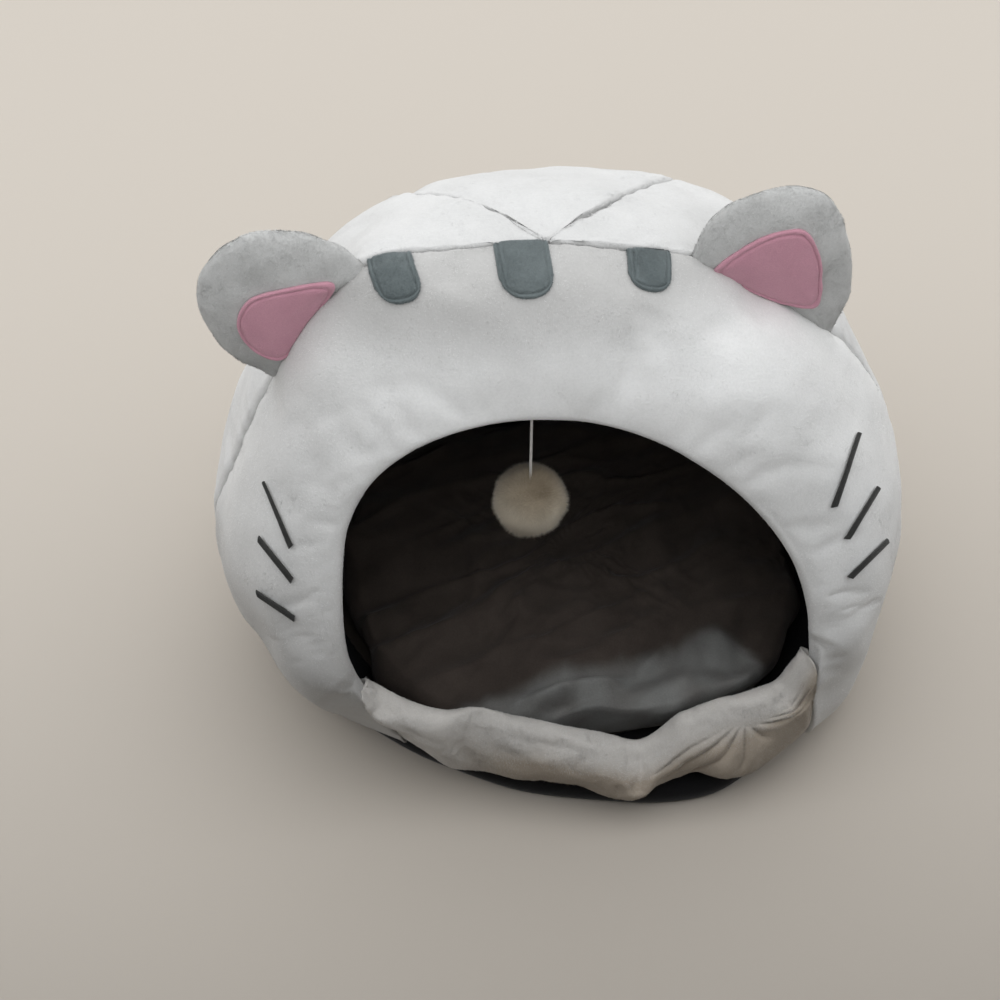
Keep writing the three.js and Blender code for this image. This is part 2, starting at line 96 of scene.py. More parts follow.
STRIPES = (  # name, from and to along the sections, length as a share of the way to the doorway
    ("stripe_left", 8.65, 9.04, 0.27), ("stripe_middle", 9.7, 10.16, 0.33),
    ("stripe_right", 10.84, 11.22, 0.25),
)
POMPOM_CENTRE = np.array((-25.0, -64.0, 156.0))
STRING_ROUTE = [(-25, -64, z) for z in (226.1, 212.4, 198.8, 185.1, 171.4)]


def unit(v):
    return v / np.maximum(np.linalg.norm(v, axis=-1, keepdims=True), 1e-9)


def mix(a, b, t):
    return a + (b - a) * t


def smooth(x, low, high):
    t = np.clip((x - low) / (high - low), 0, 1)
    return t * t * (3 - 2 * t)


def bell(x, middle, width):
    return np.exp(-(((x - middle) / width) ** 2))


def steps(count):
    return np.linspace(0, 1, count)


def waves(p, wavelength, seed, count=14):
    """Smooth seeded noise of about -1 to 1 at points p."""
    random = np.random.default_rng(seed)
    ways = unit(random.normal(size=(count, 3))) * 2 * math.pi / wavelength
    ways = ways * random.uniform(0.6, 1.5, (count, 1))
    starts = random.uniform(0, 2 * math.pi, count)
    total = np.zeros(p.shape[:-1])
    for way, start in zip(ways, starts):
        total += np.sin(p @ way + start)
    return total / math.sqrt(count / 1.3)


def wander(p, wavelengths, seed):
    """A vector at each of the points p, of three waves with seeds that follow each other."""
    return np.stack([waves(p, length, seed + k) for k, length in enumerate(wavelengths)], -1)


def curve(rows, t):
    """Centripetal Catmull-Rom curve through rows, at shares t along its spans."""
    p = np.asarray(rows, float)
    p = np.vstack([2 * p[0] - p[1], p, 2 * p[-1] - p[-2]])
    x = np.clip(np.asarray(t, float), 0, 1) * (len(rows) - 1)
    i = np.minimum(x.astype(int), len(rows) - 2)
    w = (x - i)[..., None]
    p0, p1, p2, p3 = (p[i + k] for k in range(4))
    d0, d1, d2 = (np.sqrt(np.linalg.norm(end - start, axis=-1, keepdims=True))
                  for start, end in ((p0, p1), (p1, p2), (p2, p3)))
    same = 1e-4
    d1 = np.where(d1 < same, 1.0, d1)
    d0 = np.where(d0 < same, d1, d0)
    d2 = np.where(d2 < same, d1, d2)
    t1 = ((p1 - p0) / d0 - (p2 - p0) / (d0 + d1) + (p2 - p1) / d1) * d1
    t2 = ((p2 - p1) / d1 - (p3 - p1) / (d1 + d2) + (p3 - p2) / d2) * d1
    return p1 + t1 * w + (3 * (p2 - p1) - 2 * t1 - t2) * w**2 + (2 * (p1 - p2) + t1 + t2) * w**3


def closed_curve(rows, count):
    """A smooth closed curve through rows, as count points."""
    p = np.array(rows, float)
    around = np.vstack([p[-2:], p, p[:3]])
    return curve(around, (2 + np.linspace(0, len(p), count, endpoint=False)) / (len(around) - 1))


def on_door(x, z):
    """A point of the doorway's leaning plane."""
    return x, DOOR_FLOOR_Y + DOOR_LEAN * z, z


DOOR_FLOOR_Y = -192.0
DOOR_LEAN = 0.488
DOOR_NORMAL = unit(np.array([0, -1, DOOR_LEAN]))
DOOR_MIDDLE = np.array(on_door(-5, 150))
RIM = [on_door(*r[:2]) for r in FRONT_SECTIONS]
OUT = [r[2:5] for r in FRONT_SECTIONS]
RISE = [(r[5], 0, 0) for r in FRONT_SECTIONS]
RIM_ROLL = 5.1  # how far the padding stands back from the rim, for its rolled edge


def bezier(p0, p1, p2, p3, t):
    s = 1 - t
    return p0 * s**3 + 3 * p1 * s * s * t + 3 * p2 * s * t * t + p3 * t**3


def settle(p):
    """Points moved to where the cloth has settled."""
    moved = np.array(p, float)
    for centre, radius, shift in SETTLED:
        near = np.exp(-(((p - np.array(centre)) / radius) ** 2).sum(-1, keepdims=True))
        moved += near * shift
    return moved


def outwards(p):
    """Which way is out, at a point of the walls' outer edge: level up to the widest height, then rising."""
    widest = 110
    x, y, z = np.moveaxis(p, -1, 0)
    return unit(np.stack([x, (y - SEAM_Y) * 1.8, np.maximum(z - widest, 0) * 1.2], -1))


def edge_point(a, inset):
    """The walls' outer edge at a depth under the plush."""
    p = curve(OUT, a)
    p[..., 1] = np.minimum(p[..., 1], SEAM_Y)
    p[..., 2] = np.maximum(p[..., 2], FOOT_Z)
    return p - outwards(p) * inset[..., None]


def front_surface(a, b, inset):
    """The front panel at a depth under its plush: a along the sections, b from outer edge to doorway."""
    a, b, inset = np.broadcast_arrays(*(np.asarray(x, float) for x in (a, b, inset)))
    out = outwards(curve(OUT, a))
    start = edge_point(a, inset) + np.array([0, -GAP / 2, 0])
    rim = curve(RIM, a)
    tangent = curve(RIM, np.minimum(a + 1e-4, 1)) - curve(RIM, np.maximum(a - 1e-4, 0))
    away = unit(np.cross(tangent, DOOR_NORMAL))
    away = away * np.sign(((rim - DOOR_MIDDLE) * away).sum(-1, keepdims=True))
    end = rim + away * RIM_ROLL - DOOR_NORMAL * inset[..., None]
    span = np.linalg.norm(end - start, axis=-1, keepdims=True)
    rise = curve(RISE, a)[..., :1]
    standing = np.stack([out[..., 0] * 0.5, out[..., 1] * 0.5, np.full_like(b, 0.8)], -1)
    lead = mix(np.array([0, -1.0, 0]), standing, rise)
    back = mix(away, out, rise * 0.8) * span * 0.3 + DOOR_NORMAL * span * 0.14
    return bezier(start, start + lead * span * 0.42, end + back, end, b[..., None])


def dome_surface(u, angle, inset):
    """The dome at a depth under its plush: u from foot to crest, angle in radians from left to right."""
    u, angle, inset = np.broadcast_arrays(*(np.asarray(x, float) for x in (u, angle, inset)))
    left = edge_point(mix(SEAM_ROWS["left"], SEAM_ROWS["top"], u) / LAST_SECTION, inset)
    right = edge_point(mix(SEAM_ROWS["right"], SEAM_ROWS["top"], u) / LAST_SECTION, inset)
    middle = (left + right) / 2
    half = (right - left) / 2
    crest = 312
    depth = np.linalg.norm(half, axis=-1) * (1 - 0.17 * (middle[..., 2] / crest) ** 3)
    power = 2 / 2.3  # a little squarer than a circle
    across = np.sign(np.cos(angle)) * np.abs(np.cos(angle)) ** power
    back = (1 - 0.1 * np.cos(angle)) * np.maximum(np.sin(angle), 0) ** power
    moved = middle - half * across[..., None]
    moved[..., 1] += GAP / 2 + depth * back
    return moved


LIP_FOOT = [(r[0], r[1], FOOT_Z) for r in LIP_SECTIONS]
LIP_SHAPE = [r[3:6] for r in LIP_SECTIONS]
LIP_FACING = [(r[2], 0, 0) for r in LIP_SECTIONS]
LIP_HANG = (  # where along the lip, how far its belly hangs out there
    (0, -6), (0.075, -7), (0.16, -6), (0.21, -9), (0.263, -12), (0.292, -10.5), (0.335, -8),
    (0.365, -10), (0.4, -15), (0.435, -15), (0.475, -8), (0.525, -2), (0.583, 1.5), (0.625, -2),
    (0.665, -8), (0.708, -12), (0.755, -5), (0.8, 6), (0.845, 7.5), (0.878, 4.5), (0.915, 1), (1, -1),
)
LIP_CREST = (  # where along the lip, how much its crest rises or sags there
    (0, -7), (0.058, -16), (0.11, -20), (0.16, -15), (0.208, -12), (0.3, -12), (0.398, -9),
    (0.485, -6), (0.565, -7), (0.625, -10), (0.66, -7), (0.728, 1), (0.785, -3), (0.83, -7),
    (0.873, -13), (0.905, -21), (0.93, -29), (0.96, -16), (1, -8),
)


def lip_surface(a, b, inset):
    """The lip at a depth under its plush: a from left to right, b from foot to crest."""
    a, b, inset = np.broadcast_arrays(*(np.asarray(x, float) for x in (a, b, inset)))
    angle = np.radians(curve(LIP_FACING, a)[..., 0])
    out = np.stack([np.cos(angle), np.sin(angle), np.zeros_like(angle)], -1)
    shape = curve(LIP_SHAPE, a)
    reach, crest, bulge = shape[..., :1], shape[..., 1:2], shape[..., 2:3]
    depth = inset[..., None]
    foot = curve(LIP_FOOT, a)
    start = foot - out * depth
    end = foot + out * (reach - depth * 0.95)
    end[..., 2] = (crest - depth * 0.3)[..., 0]
    height = end[..., 2:3] - start[..., 2:3]
    up = np.array([0, 0, 1.0])
    from_foot = start + out * bulge + up * height * 0.15
    to_crest = end + out * bulge * 0.45 - up * height * 0.35
    hanging = bezier(start, from_foot, to_crest, end, b[..., None])
    which = np.round(a)
    inwards = np.stack([np.where(which > 0, -0.87, 0.87), np.full_like(a, -0.5), np.zeros_like(a)], -1)
    meeting = front_surface(which, b, inset) + inwards * GAP * 1.5
    share = 1 - smooth(np.abs(a - which), 0, LIP_ENDS)
    return mix(hanging, meeting, share[..., None])


def table(rows, x):
    """A smooth run through rows of (place, value)."""
    places, values = np.array(rows, float).T
    fine = steps(401)
    run = np.interp(fine, places, values)
    reach = 12
    weights = np.exp(-((np.arange(-reach, reach + 1) / 5.0) ** 2))
    run = np.convolve(np.pad(run, reach, "edge"), weights / weights.sum(), "valid")
    return np.interp(x, fine, run)


# Mesh building.
def link(obj):
    bpy.context.scene.collection.objects.link(obj)
    return obj


def make_mesh(name, points, faces, smooth_shaded=True):
    """A mesh object from points in millimetres."""
    mesh = bpy.data.meshes.new(name)
    mesh.from_pydata((np.asarray(points, float).reshape(-1, 3) * MM).tolist(), [], faces)
    mesh.update()
    mesh.polygons.foreach_set("use_smooth", np.full(len(mesh.polygons), smooth_shaded))
    return link(bpy.data.objects.new(name, mesh))


def loft(name, rings):
    """Closed rings skinned into a mesh, an n-gon at each end, faces out."""
    rings = np.asarray(rings, float)
    rows, around = rings.shape[:2]
    faces = []
    for first in range(0, (rows - 1) * around, around):
        for j in range(around):
            k = (j + 1) % around
            faces.append((first + j, first + k, first + around + k, first + around + j))
    faces.append(tuple(range(around))[::-1])
    faces.append(tuple((rows - 1) * around + j for j in range(around)))
    points = rings.reshape(-1, 3)
    volume = 0.0
    for f in faces:
        p = points[list(f)]
        for k in range(1, len(f) - 1):
            volume += np.dot(p[0], np.cross(p[k], p[k + 1]))
    if volume < 0:
        faces = [f[::-1] for f in faces]
    return make_mesh(name, points, faces)


def attach(obj, name, values):
    layer = obj.data.attributes.get(name) or obj.data.attributes.new(name, "FLOAT", "POINT")
    layer.data.foreach_set("value", np.asarray(values, np.float32).ravel())


def read(obj, name):
    values = np.zeros(len(obj.data.vertices), np.float32)
    obj.data.attributes[name].data.foreach_get("value", values)
    return values.astype(float)


def points_of(obj):
    """Points in millimetres and unit normals."""
    count = len(obj.data.vertices)
    points, normals = np.zeros(count * 3, np.float32), np.zeros(count * 3, np.float32)
    obj.data.vertices.foreach_get("co", points)
    obj.data.vertices.foreach_get("normal", normals)
    return points.reshape(-1, 3).astype(float) / MM, normals.reshape(-1, 3).astype(float)


def set_points(obj, points):
    obj.data.vertices.foreach_set("co", (np.asarray(points) * MM).astype(np.float32).ravel())
    obj.data.update()


def push(obj, offsets):
    """Moves each vertex along its normal by an offset in millimetres."""
    points, normals = points_of(obj)
    set_points(obj, points + normals * np.asarray(offsets)[:, None])


def subdivide(obj):
    """Replaces an object's mesh by the same mesh subdivided once."""
    modifier = obj.modifiers.new("subdivision", "SUBSURF")
    modifier.levels = modifier.render_levels = 1
    graph = bpy.context.evaluated_depsgraph_get()
    graph.update()
    mesh = bpy.data.meshes.new_from_object(obj.evaluated_get(graph), preserve_all_data_layers=True,
                                           depsgraph=graph)
    obj.modifiers.clear()
    old = obj.data
    obj.data = mesh
    bpy.data.meshes.remove(old)


def inflate(obj, pinned, pressure, grow, cap):
    """Cloth simulation of a padded skin, held where pinned is 1.

    The cloth is larger than its rest shape by the share grow. No point moves further than cap millimetres.
    """
    scene = bpy.context.scene
    frames, stiffness = 20, 12.0
    rest, _ = points_of(obj)
    group = obj.vertex_groups.new(name="held")
    for i, weight in enumerate(pinned):
        if weight > 0:
            group.add([i], float(weight), "REPLACE")
    cloth = obj.modifiers.new("cloth", "CLOTH")
    settings = cloth.settings
    settings.quality = 5
    settings.mass = 0.2
    settings.tension_stiffness = settings.compression_stiffness = stiffness
    settings.shear_stiffness = stiffness / 2
    settings.bending_stiffness = 0.4
    settings.use_pressure = True
    settings.uniform_pressure_force = pressure
    settings.shrink_min = -grow
    settings.effector_weights.gravity = 0
    settings.vertex_group_mass = "held"
    cloth.collision_settings.use_collision = False
    cloth.collision_settings.use_self_collision = False
    cloth.point_cache.frame_start = 1
    cloth.point_cache.frame_end = frames
    for number in range(1, frames + 1):
        scene.frame_set(number)
    graph = bpy.context.evaluated_depsgraph_get()
    mesh = obj.evaluated_get(graph).data
    moved = np.zeros(len(mesh.vertices) * 3, np.float32)
    mesh.vertices.foreach_get("co", moved)
    obj.modifiers.clear()
    obj.vertex_groups.clear()
    scene.frame_set(1)
    step = moved.reshape(-1, 3) / MM - rest
    length = np.maximum(np.linalg.norm(step, axis=1, keepdims=True), 1e-9)
    set_points(obj, rest + step * np.minimum(1, cap / length))


def wall(name, surface, a, b, outer, inner=WALL, roll=0, roll_reach=1.0, inner_steps=10):
    """A closed padded wall along surface(a, b, inset), from the inset outer(a, b) to the inset inner.

    Its last edge is rolled over in as many steps as roll says. Each point keeps its a, b and depth, from
    0 outside to 1 inside.
    """
    A, B = np.meshgrid(a, b, indexing="ij")
    A2, B2 = np.meshgrid(a, np.linspace(b[-1], b[0], inner_steps), indexing="ij")
    out = surface(A, B, outer(A, B))
    back = surface(A2, B2, np.full_like(A2, inner))
    parts, shares, depths = [out], [B], [np.zeros_like(B)]
    if roll:
        middle = (out[:, -1] + back[:, 0]) / 2
        radial = out[:, -1] - middle
        onward = out[:, -1] - out[:, -2]
        onward = onward - radial * ((onward * radial).sum(-1) / (radial**2).sum(-1))[:, None]
        onward = unit(onward) * np.linalg.norm(radial, axis=-1, keepdims=True) * roll_reach
        for k in range(1, roll + 1):
            angle = math.pi * k / (roll + 1)
            parts.append((middle + radial * math.cos(angle) + onward * math.sin(angle))[:, None])
            shares.append(np.ones((len(a), 1)))
            depths.append(np.full((len(a), 1), k / (roll + 1)))
    parts.append(back)
    shares.append(B2)
    depths.append(np.ones_like(B2))
    rings = np.concatenate(parts, 1)
    obj = loft(name, rings)
    attach(obj, "share_a", np.repeat(np.asarray(a), rings.shape[1]))
    attach(obj, "share_b", np.concatenate(shares, 1))
    attach(obj, "depth", np.concatenate(depths, 1))
    return obj


def shares_of(obj):
    """The a, b and depth that each point of a wall keeps."""
    return [read(obj, name) for name in ("share_a", "share_b", "depth")]


# Materials.
def material(name):
    made = bpy.data.materials.new(name)
    made.use_nodes = True
    return made, made.node_tree.nodes, made.node_tree.links


def calculate(nodes, links, operation, *terms):
    """The socket of a sum or product of numbers and sockets."""
    made = nodes.new("ShaderNodeMath")
    made.operation = operation
    for socket, term in zip(made.inputs, terms):
        if isinstance(term, float):
            socket.default_value = term
        else:
            links.new(term, socket)
    return made.outputs[0]


def noise(nodes, links, place, scale, detail, roughness):
    made = nodes.new("ShaderNodeTexNoise")
    made.inputs["Scale"].default_value = scale
    made.inputs["Detail"].default_value = detail
    made.inputs["Roughness"].default_value = roughness
    links.new(place, made.inputs["Vector"])
    return made.outputs["Fac"]


def two_tone(nodes, links, share, low, high):
    """The socket of a colour that runs from low to high over the middle of a share."""
    ramp = nodes.new("ShaderNodeValToRGB")
    for end, position, colour in zip(ramp.color_ramp.elements, (0.35, 0.65), (low, high)):
        end.position = position
        end.color = (*colour, 1)
    links.new(share, ramp.inputs["Fac"])
    return ramp.outputs["Color"]


def cloth_material(name, low, high, mottle=22.0, fine=700.0, bump=0.25, roughness=0.92, sheen=0.2,
                   fine_share=0.35, weave=0, tint=None):
    """Cloth whose colour varies softly between low and high, with a grain of fibre or weave in its relief.

    A tint names the attribute that blends in a second pair of colours; in this scene that is painted shade,
    and on the cushion a painted light patch.
    """
    made, nodes, links = material(name)
    shader = nodes["Principled BSDF"]
    shader.inputs["Roughness"].default_value = roughness
    shader.inputs["Sheen Weight"].default_value = sheen
    shader.inputs["Sheen Roughness"].default_value = 0.5
    shader.inputs["Sheen Tint"].default_value = (1, 1, 1, 1)
    shader.inputs["Specular IOR Level"].default_value = 0.15
    place = nodes.new("ShaderNodeTexCoord").outputs["Object"]
    broad = noise(nodes, links, place, scale=mottle, detail=4, roughness=0.6)
    grain = noise(nodes, links, place, scale=fine, detail=3, roughness=0.5)
    broad = calculate(nodes, links, "MULTIPLY", broad, 1 - fine_share)
    share = calculate(nodes, links, "MULTIPLY_ADD", grain, fine_share, broad)
    colour = two_tone(nodes, links, share, low, high)
    if tint:
        where = nodes.new("ShaderNodeAttribute")
        where.attribute_name = tint[0]
        blend = nodes.new("ShaderNodeMix")
        blend.data_type = "RGBA"
        links.new(where.outputs["Fac"], blend.inputs["Factor"])
        links.new(colour, blend.inputs["A"])
        links.new(two_tone(nodes, links, share, *tint[1]), blend.inputs["B"])
        colour = blend.outputs["Result"]
    links.new(colour, shader.inputs["Base Color"])
    height = grain
    if weave:
        threads = []
        for axis in ("X", "Y"):
            wave = nodes.new("ShaderNodeTexWave")
            wave.wave_type = "BANDS"
            wave.bands_direction = axis
            wave.inputs["Scale"].default_value = weave
            wave.inputs["Distortion"].default_value = 1.2
            wave.inputs["Detail"].default_value = 1
            links.new(place, wave.inputs["Vector"])
            threads.append(wave.outputs["Fac"])
        height = calculate(nodes, links, "ADD", calculate(nodes, links, "MULTIPLY", *threads), grain)
    relief = nodes.new("ShaderNodeBump")
    relief.inputs["Strength"].default_value = bump
    relief.inputs["Distance"].default_value = 0.6 * MM
    links.new(height, relief.inputs["Height"])
    links.new(relief.outputs["Normal"], shader.inputs["Normal"])
    return made


# The second, darker pair of colours of each plush and of pile_white is painted shade, blended in where the
# scene marks it; on the blades' tips the darkening also varies at random.
plush_grey = cloth_material("plush_grey", (0.79, 0.793, 0.785), (0.9, 0.903, 0.895),
                            tint=("shade_and_tone", ((0.385, 0.38, 0.37), (0.445, 0.44, 0.43))))
# The dome's plush is the face's cloth in other colours, as painted light and shade for how differently the
# light falls on the dome.
plush_dome = cloth_material("plush_dome", (0.66, 0.662, 0.655), (0.75, 0.752, 0.745),
                            tint=("shade_and_tone", ((0.37, 0.365, 0.36), (0.43, 0.425, 0.42))))
# The lip's plush is the face's cloth painted darker and warmer, as painted shade with a warm cast of bounced
# light; its second pair is the painted shade of its belly.
plush_lip = cloth_material("plush_lip", (0.59, 0.583, 0.57), (0.68, 0.672, 0.655),
                           tint=("shade_and_tone", ((0.33, 0.285, 0.23), (0.39, 0.335, 0.275))))
# The ears' plush is the face's cloth painted darker, as painted shade.
plush_ear = cloth_material("plush_ear", (0.53, 0.534, 0.525), (0.64, 0.644, 0.635),
                           tint=("shade_and_tone", ((0.28, 0.275, 0.265), (0.34, 0.335, 0.325))))
plush_slate = cloth_material("plush_slate", (0.125, 0.15, 0.154), (0.175, 0.203, 0.206),
                             tint=("shade_and_tone", ((0.06, 0.075, 0.078), (0.085, 0.105, 0.108))))
felt_pink = cloth_material("felt_pink", (0.5, 0.245, 0.31), (0.58, 0.3, 0.37), mottle=60, fine=1500,
                           bump=0.5, sheen=0.3, fine_share=0.6)
lining_dark = cloth_material("lining_dark", (0.048, 0.04, 0.032), (0.08, 0.067, 0.054), mottle=30,
                             fine=1100, bump=0.15, roughness=0.75, sheen=0.1, weave=1800)
# The cushion's cloth is dark; its second pair of colours, blended in by the attribute named plush, is a
# painted light patch, not a plush cloth.
cushion_cloth = cloth_material("cushion_cloth", (0.039, 0.03, 0.025), (0.066, 0.052, 0.044), mottle=30,
                               fine=1100, bump=0.2, roughness=0.8, sheen=0.12, weave=1800,
                               tint=("plush", ((0.14, 0.141, 0.136), (0.205, 0.207, 0.2))))
base_black = cloth_material("base_black", (0.006, 0.006, 0.007), (0.014, 0.014, 0.015), fine=1200,
                            weave=1500)
pile_white = cloth_material("pile_white", (0.86, 0.75, 0.58), (0.96, 0.87, 0.71), mottle=60, fine=900,
                            tint=("shade_and_tone", ((0.36, 0.28, 0.19), (0.46, 0.38, 0.27))))
thread_dark = cloth_material("thread_dark", (0.018, 0.018, 0.017), (0.035, 0.035, 0.033), mottle=200,
                             fine=2500, roughness=0.55, sheen=0.3)
string_white = cloth_material("string_white", (0.55, 0.53, 0.5), (0.7, 0.68, 0.65), mottle=300, fine=2500)


def finish_piece(obj, look, nodes=()):
    obj.data.materials.clear()
    obj.data.materials.append(look)
    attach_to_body(obj, "root")
    if nodes:
        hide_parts(*nodes)


# Pile: short blades that lie on a finished piece, one triangle each.
CLUMPING, STRAYING = 0.35, 0.3  # how far the blades turn from the nap, in clumps and each its own way
SHADOW = 0.3  # painted shade: how much darker the roots are than the tips
UNDER_PILE = 0.32  # painted shade: how much darker the cloth under the blades is than the tips
SUNK = 0.2  # how deep the blades are rooted


def nap_down(points):
    """Where the nap leans: down the cloth, wandering."""
    return wander(points, (90, 80, 70), 11) * (0.9, 0.7, 0.6) + (0, 0, -1)


def nap_up(points):
    """The nap of the ears."""
    return wander(points, (40, 40, 50), 61) * (0.6, 0.3, 0.5) + (0, 0, 0.9)


def pile(base, count, length, width, seed, wanted, lift=0.3, nap=nap_down, shade_and_tone=0.0):
    """Blades that lie along the nap, their tips raised by lift of their length, shaded like the cloth.

    They grow where wanted is 1. The cloth under them and their roots are painted darker than their tips, as
    painted shade; the darkening passed in, from 0 to 1, is painted shade on the cloth and the blades alike,
    and the tips also vary at random.
    """
    random = np.random.default_rng(seed)
    mesh = base.data
    mesh.calc_loop_triangles()
    corners = np.zeros(len(mesh.loop_triangles) * 3, np.int32)
    mesh.loop_triangles.foreach_get("vertices", corners)
    corners = corners.reshape(-1, 3)
    points, normals = points_of(base)
    wanted, shade_and_tone = (np.broadcast_to(x, len(points)) for x in (wanted, shade_and_tone))
    p = points[corners]
    area = np.linalg.norm(np.cross(p[:, 1] - p[:, 0], p[:, 2] - p[:, 0]), axis=1)
    total = np.cumsum(area * np.clip(wanted[corners].mean(1), 0, 1))
    picked = np.searchsorted(total, random.uniform(0, total[-1], count))
    picked = np.minimum(picked, len(corners) - 1)
    r = np.sqrt(random.uniform(size=count))
    s = random.uniform(size=count)
    weights = np.stack([1 - r, r * (1 - s), r * s], 1)[..., None]
    root = (p[picked] * weights).sum(1)
    normal = unit((normals[corners[picked]] * weights).sum(1))
    clump = wander(root, (8, 8, 8), seed + 21)
    flow = unit(nap(root)) + clump * CLUMPING + random.normal(size=(count, 3)) * STRAYING
    flow = unit(flow - normal * (flow * normal).sum(1, keepdims=True))
    raised = np.clip(lift * (1 + 0.3 * random.normal(size=(count, 1))), 0.07, 0.5)
    way = unit(flow + normal * raised)
    long = length * random.uniform(0.65, 1.2, (count, 1)) * (1 + 0.15 * waves(root, 25, seed + 31))[:, None]
    side = unit(np.cross(way, normal) + normal * 0.14 * random.normal(size=(count, 1)))
    facing = np.cross(side, way)
    side = side * np.sign((facing * normal).sum(1, keepdims=True) + 1e-9) * width / 2
    root = root - normal * SUNK
    blades = np.stack([root - side, root + side, root + way * long], 1).reshape(-1, 3)
    shade = unit(normal + flow * 0.1 + random.normal(size=(count, 3)) * 0.13)
    # Painted shade: the cloth under the blades and the blades' roots are darker than the tips.
    attach(base, "shade_and_tone", np.clip(shade_and_tone + UNDER_PILE, 0, 1))
    tip = (shade_and_tone[corners[picked]] * weights[..., 0]).sum(1) + random.uniform(-0.3, 0.28, count)
    made = blade_mesh(base.name + "_pile", blades, np.arange(count * 3), np.repeat(shade, 3, 0),
                      mesh.materials[0])
    attach(made, "shade_and_tone", np.clip(np.stack([tip + SHADOW, tip + SHADOW, tip], 1), 0, 1))


def blade_mesh(name, points, corners, shading, look):
    """A mesh of loose triangles with its own shading normals."""
    mesh = bpy.data.meshes.new(name)
    count = len(corners) // 3
    mesh.vertices.add(len(points))
    mesh.vertices.foreach_set("co", (points * MM).astype(np.float32).ravel())
    mesh.loops.add(count * 3)
    mesh.loops.foreach_set("vertex_index", np.asarray(corners, np.int32))
    mesh.polygons.add(count)
    mesh.polygons.foreach_set("loop_start", np.arange(0, count * 3, 3, dtype=np.int32))
    mesh.update(calc_edges=True)
    mesh.polygons.foreach_set("use_smooth", np.ones(count, bool))
    mesh.normals_split_custom_set_from_vertices(shading.tolist())
    obj = link(bpy.data.objects.new(name, mesh))
    finish_piece(obj, look)
    return obj


def fluff(name, middle, radius_of, length_of, count, width, seed, look):
    """Three-sided spikes standing out all round a ball, each pointing its own way."""
    random = np.random.default_rng(seed)
    turn = random.uniform(0, 2 * math.pi, count)
    high = random.uniform(-1, 1, count)
    flat = np.sqrt(1 - high**2)
    away = np.stack([flat * np.cos(turn), flat * np.sin(turn), high], -1)
    root = middle + away * radius_of(away)[:, None]
    clump = wander(root, (14, 14, 14), seed + 1)
    way = unit(away + clump * STRAYING + random.normal(size=(count, 3)) * STRAYING)
    side = unit(np.cross(way, random.normal(size=(count, 3))))
    other = np.cross(way, side)
    spread = [side * math.cos(t) + other * math.sin(t) for t in np.radians((0, 120, 240))]
    tip = root + way * length_of(away)[:, None] * random.uniform(0.6, 1.1, (count, 1))
    points = np.stack([*(root + s * width / 2 for s in spread), tip], 1).reshape(-1, 3)
    first = np.arange(count)[:, None] * 4
    corners = (first + np.array([0, 1, 3, 1, 2, 3, 2, 0, 3])).ravel()
    shading = np.stack([unit(away + s * 0.35) for s in spread] + [unit(way + away)], 1).reshape(-1, 3)
    return blade_mesh(name, points, corners, shading, look)


# The camera stands where the photograph was taken from.
scene = bpy.context.scene
camera = link(bpy.data.objects.new("camera", bpy.data.cameras.new("camera")))
camera.location = (-0.1178, -0.6807, 0.899)
camera.rotation_euler = (math.radians(40), 0, math.radians(-7))
camera.data.sensor_width = 36
camera.data.lens = 61.74
scene.camera = camera

# The string that the pompom hangs on.
route = bpy.data.curves.new("string", "CURVE")
route.dimensions = "3D"
route.bevel_depth = 0.8 * MM
route.bevel_resolution = 3
route.use_fill_caps = True
spline = route.splines.new("POLY")
spline.points.add(len(STRING_ROUTE) - 1)
for point, place in zip(spline.points, STRING_ROUTE):
    point.co = (*(x * MM for x in place), 1)
string = link(bpy.data.objects.new("string", route))
finish_piece(string, string_white, ["pompom_string"])

# The pompom: a core under its fibres, with longer tufts round the string, and painted shade that darkens it
# towards the top.
POMPOM_TUFTS = (  # which way, how wide in radians, how much longer
    (unit(np.array([0.5, -0.3, 0.8])), 0.28, 3.0), (unit(np.array([0.02, -0.2, 0.95])), 0.34, 7.0),
)


def pompom_radius(away):
    return 16.6 + 0.5 * waves(away, 0.9, 7)


def pompom_length(away):
    length = np.full(away.shape[:-1], 5.8)
    for tuft, width, extra in POMPOM_TUFTS:
        length += extra * np.exp(-((np.arccos(np.clip(away @ tuft, -1, 1)) / width) ** 2))
    return length


tilt, turn = np.meshgrid(np.linspace(0.03, math.pi - 0.03, 26),
                         np.linspace(0, 2 * math.pi, 36, endpoint=False), indexing="ij")
around = np.stack([np.sin(tilt) * np.cos(turn), np.sin(tilt) * np.sin(turn), np.cos(tilt)], -1)
pompom = loft("pompom_core", POMPOM_CENTRE + around * pompom_radius(around)[..., None])
finish_piece(pompom, pile_white, ["pompom"])
pompom_fur = fluff("pompom_pile", POMPOM_CENTRE, pompom_radius, pompom_length, 22000, 0.43, 6,
                   pile_white)
for piece in (pompom, pompom_fur):
    points, _ = points_of(piece)
    own = np.random.default_rng(8).uniform(-0.25, 0.2, len(points))
    # Painted shade darkens the pompom towards the top; each point also gets a random tone of its own.
    shade = smooth(points[:, 2], POMPOM_CENTRE[2] - 4, POMPOM_CENTRE[2] + 24)
    attach(piece, "shade_and_tone", np.clip(shade + own, 0, 1))


# The padded walls. Each starts a little under its finished surface and swells in the simulation.
def seam_puckers(distance, along, seed, pitch=13.0, depth=0.7, reach=9.0):
    """Small puckers across a seam: distance from it and way along it, in millimetres."""
    line = np.stack([along, np.full_like(along, seed * 37.0), np.zeros_like(along)], -1)
    drift = waves(line, pitch * 5, seed)
    return -depth * (0.5 + 0.5 * np.cos(2 * math.pi * along / pitch + 3 * drift)) * np.exp(-distance / reach)


def groove(distance, depth, share):
    return depth * (1 - smooth(distance, 0, share))


def nearer_end(share):
    return np.minimum(share, 1 - share)


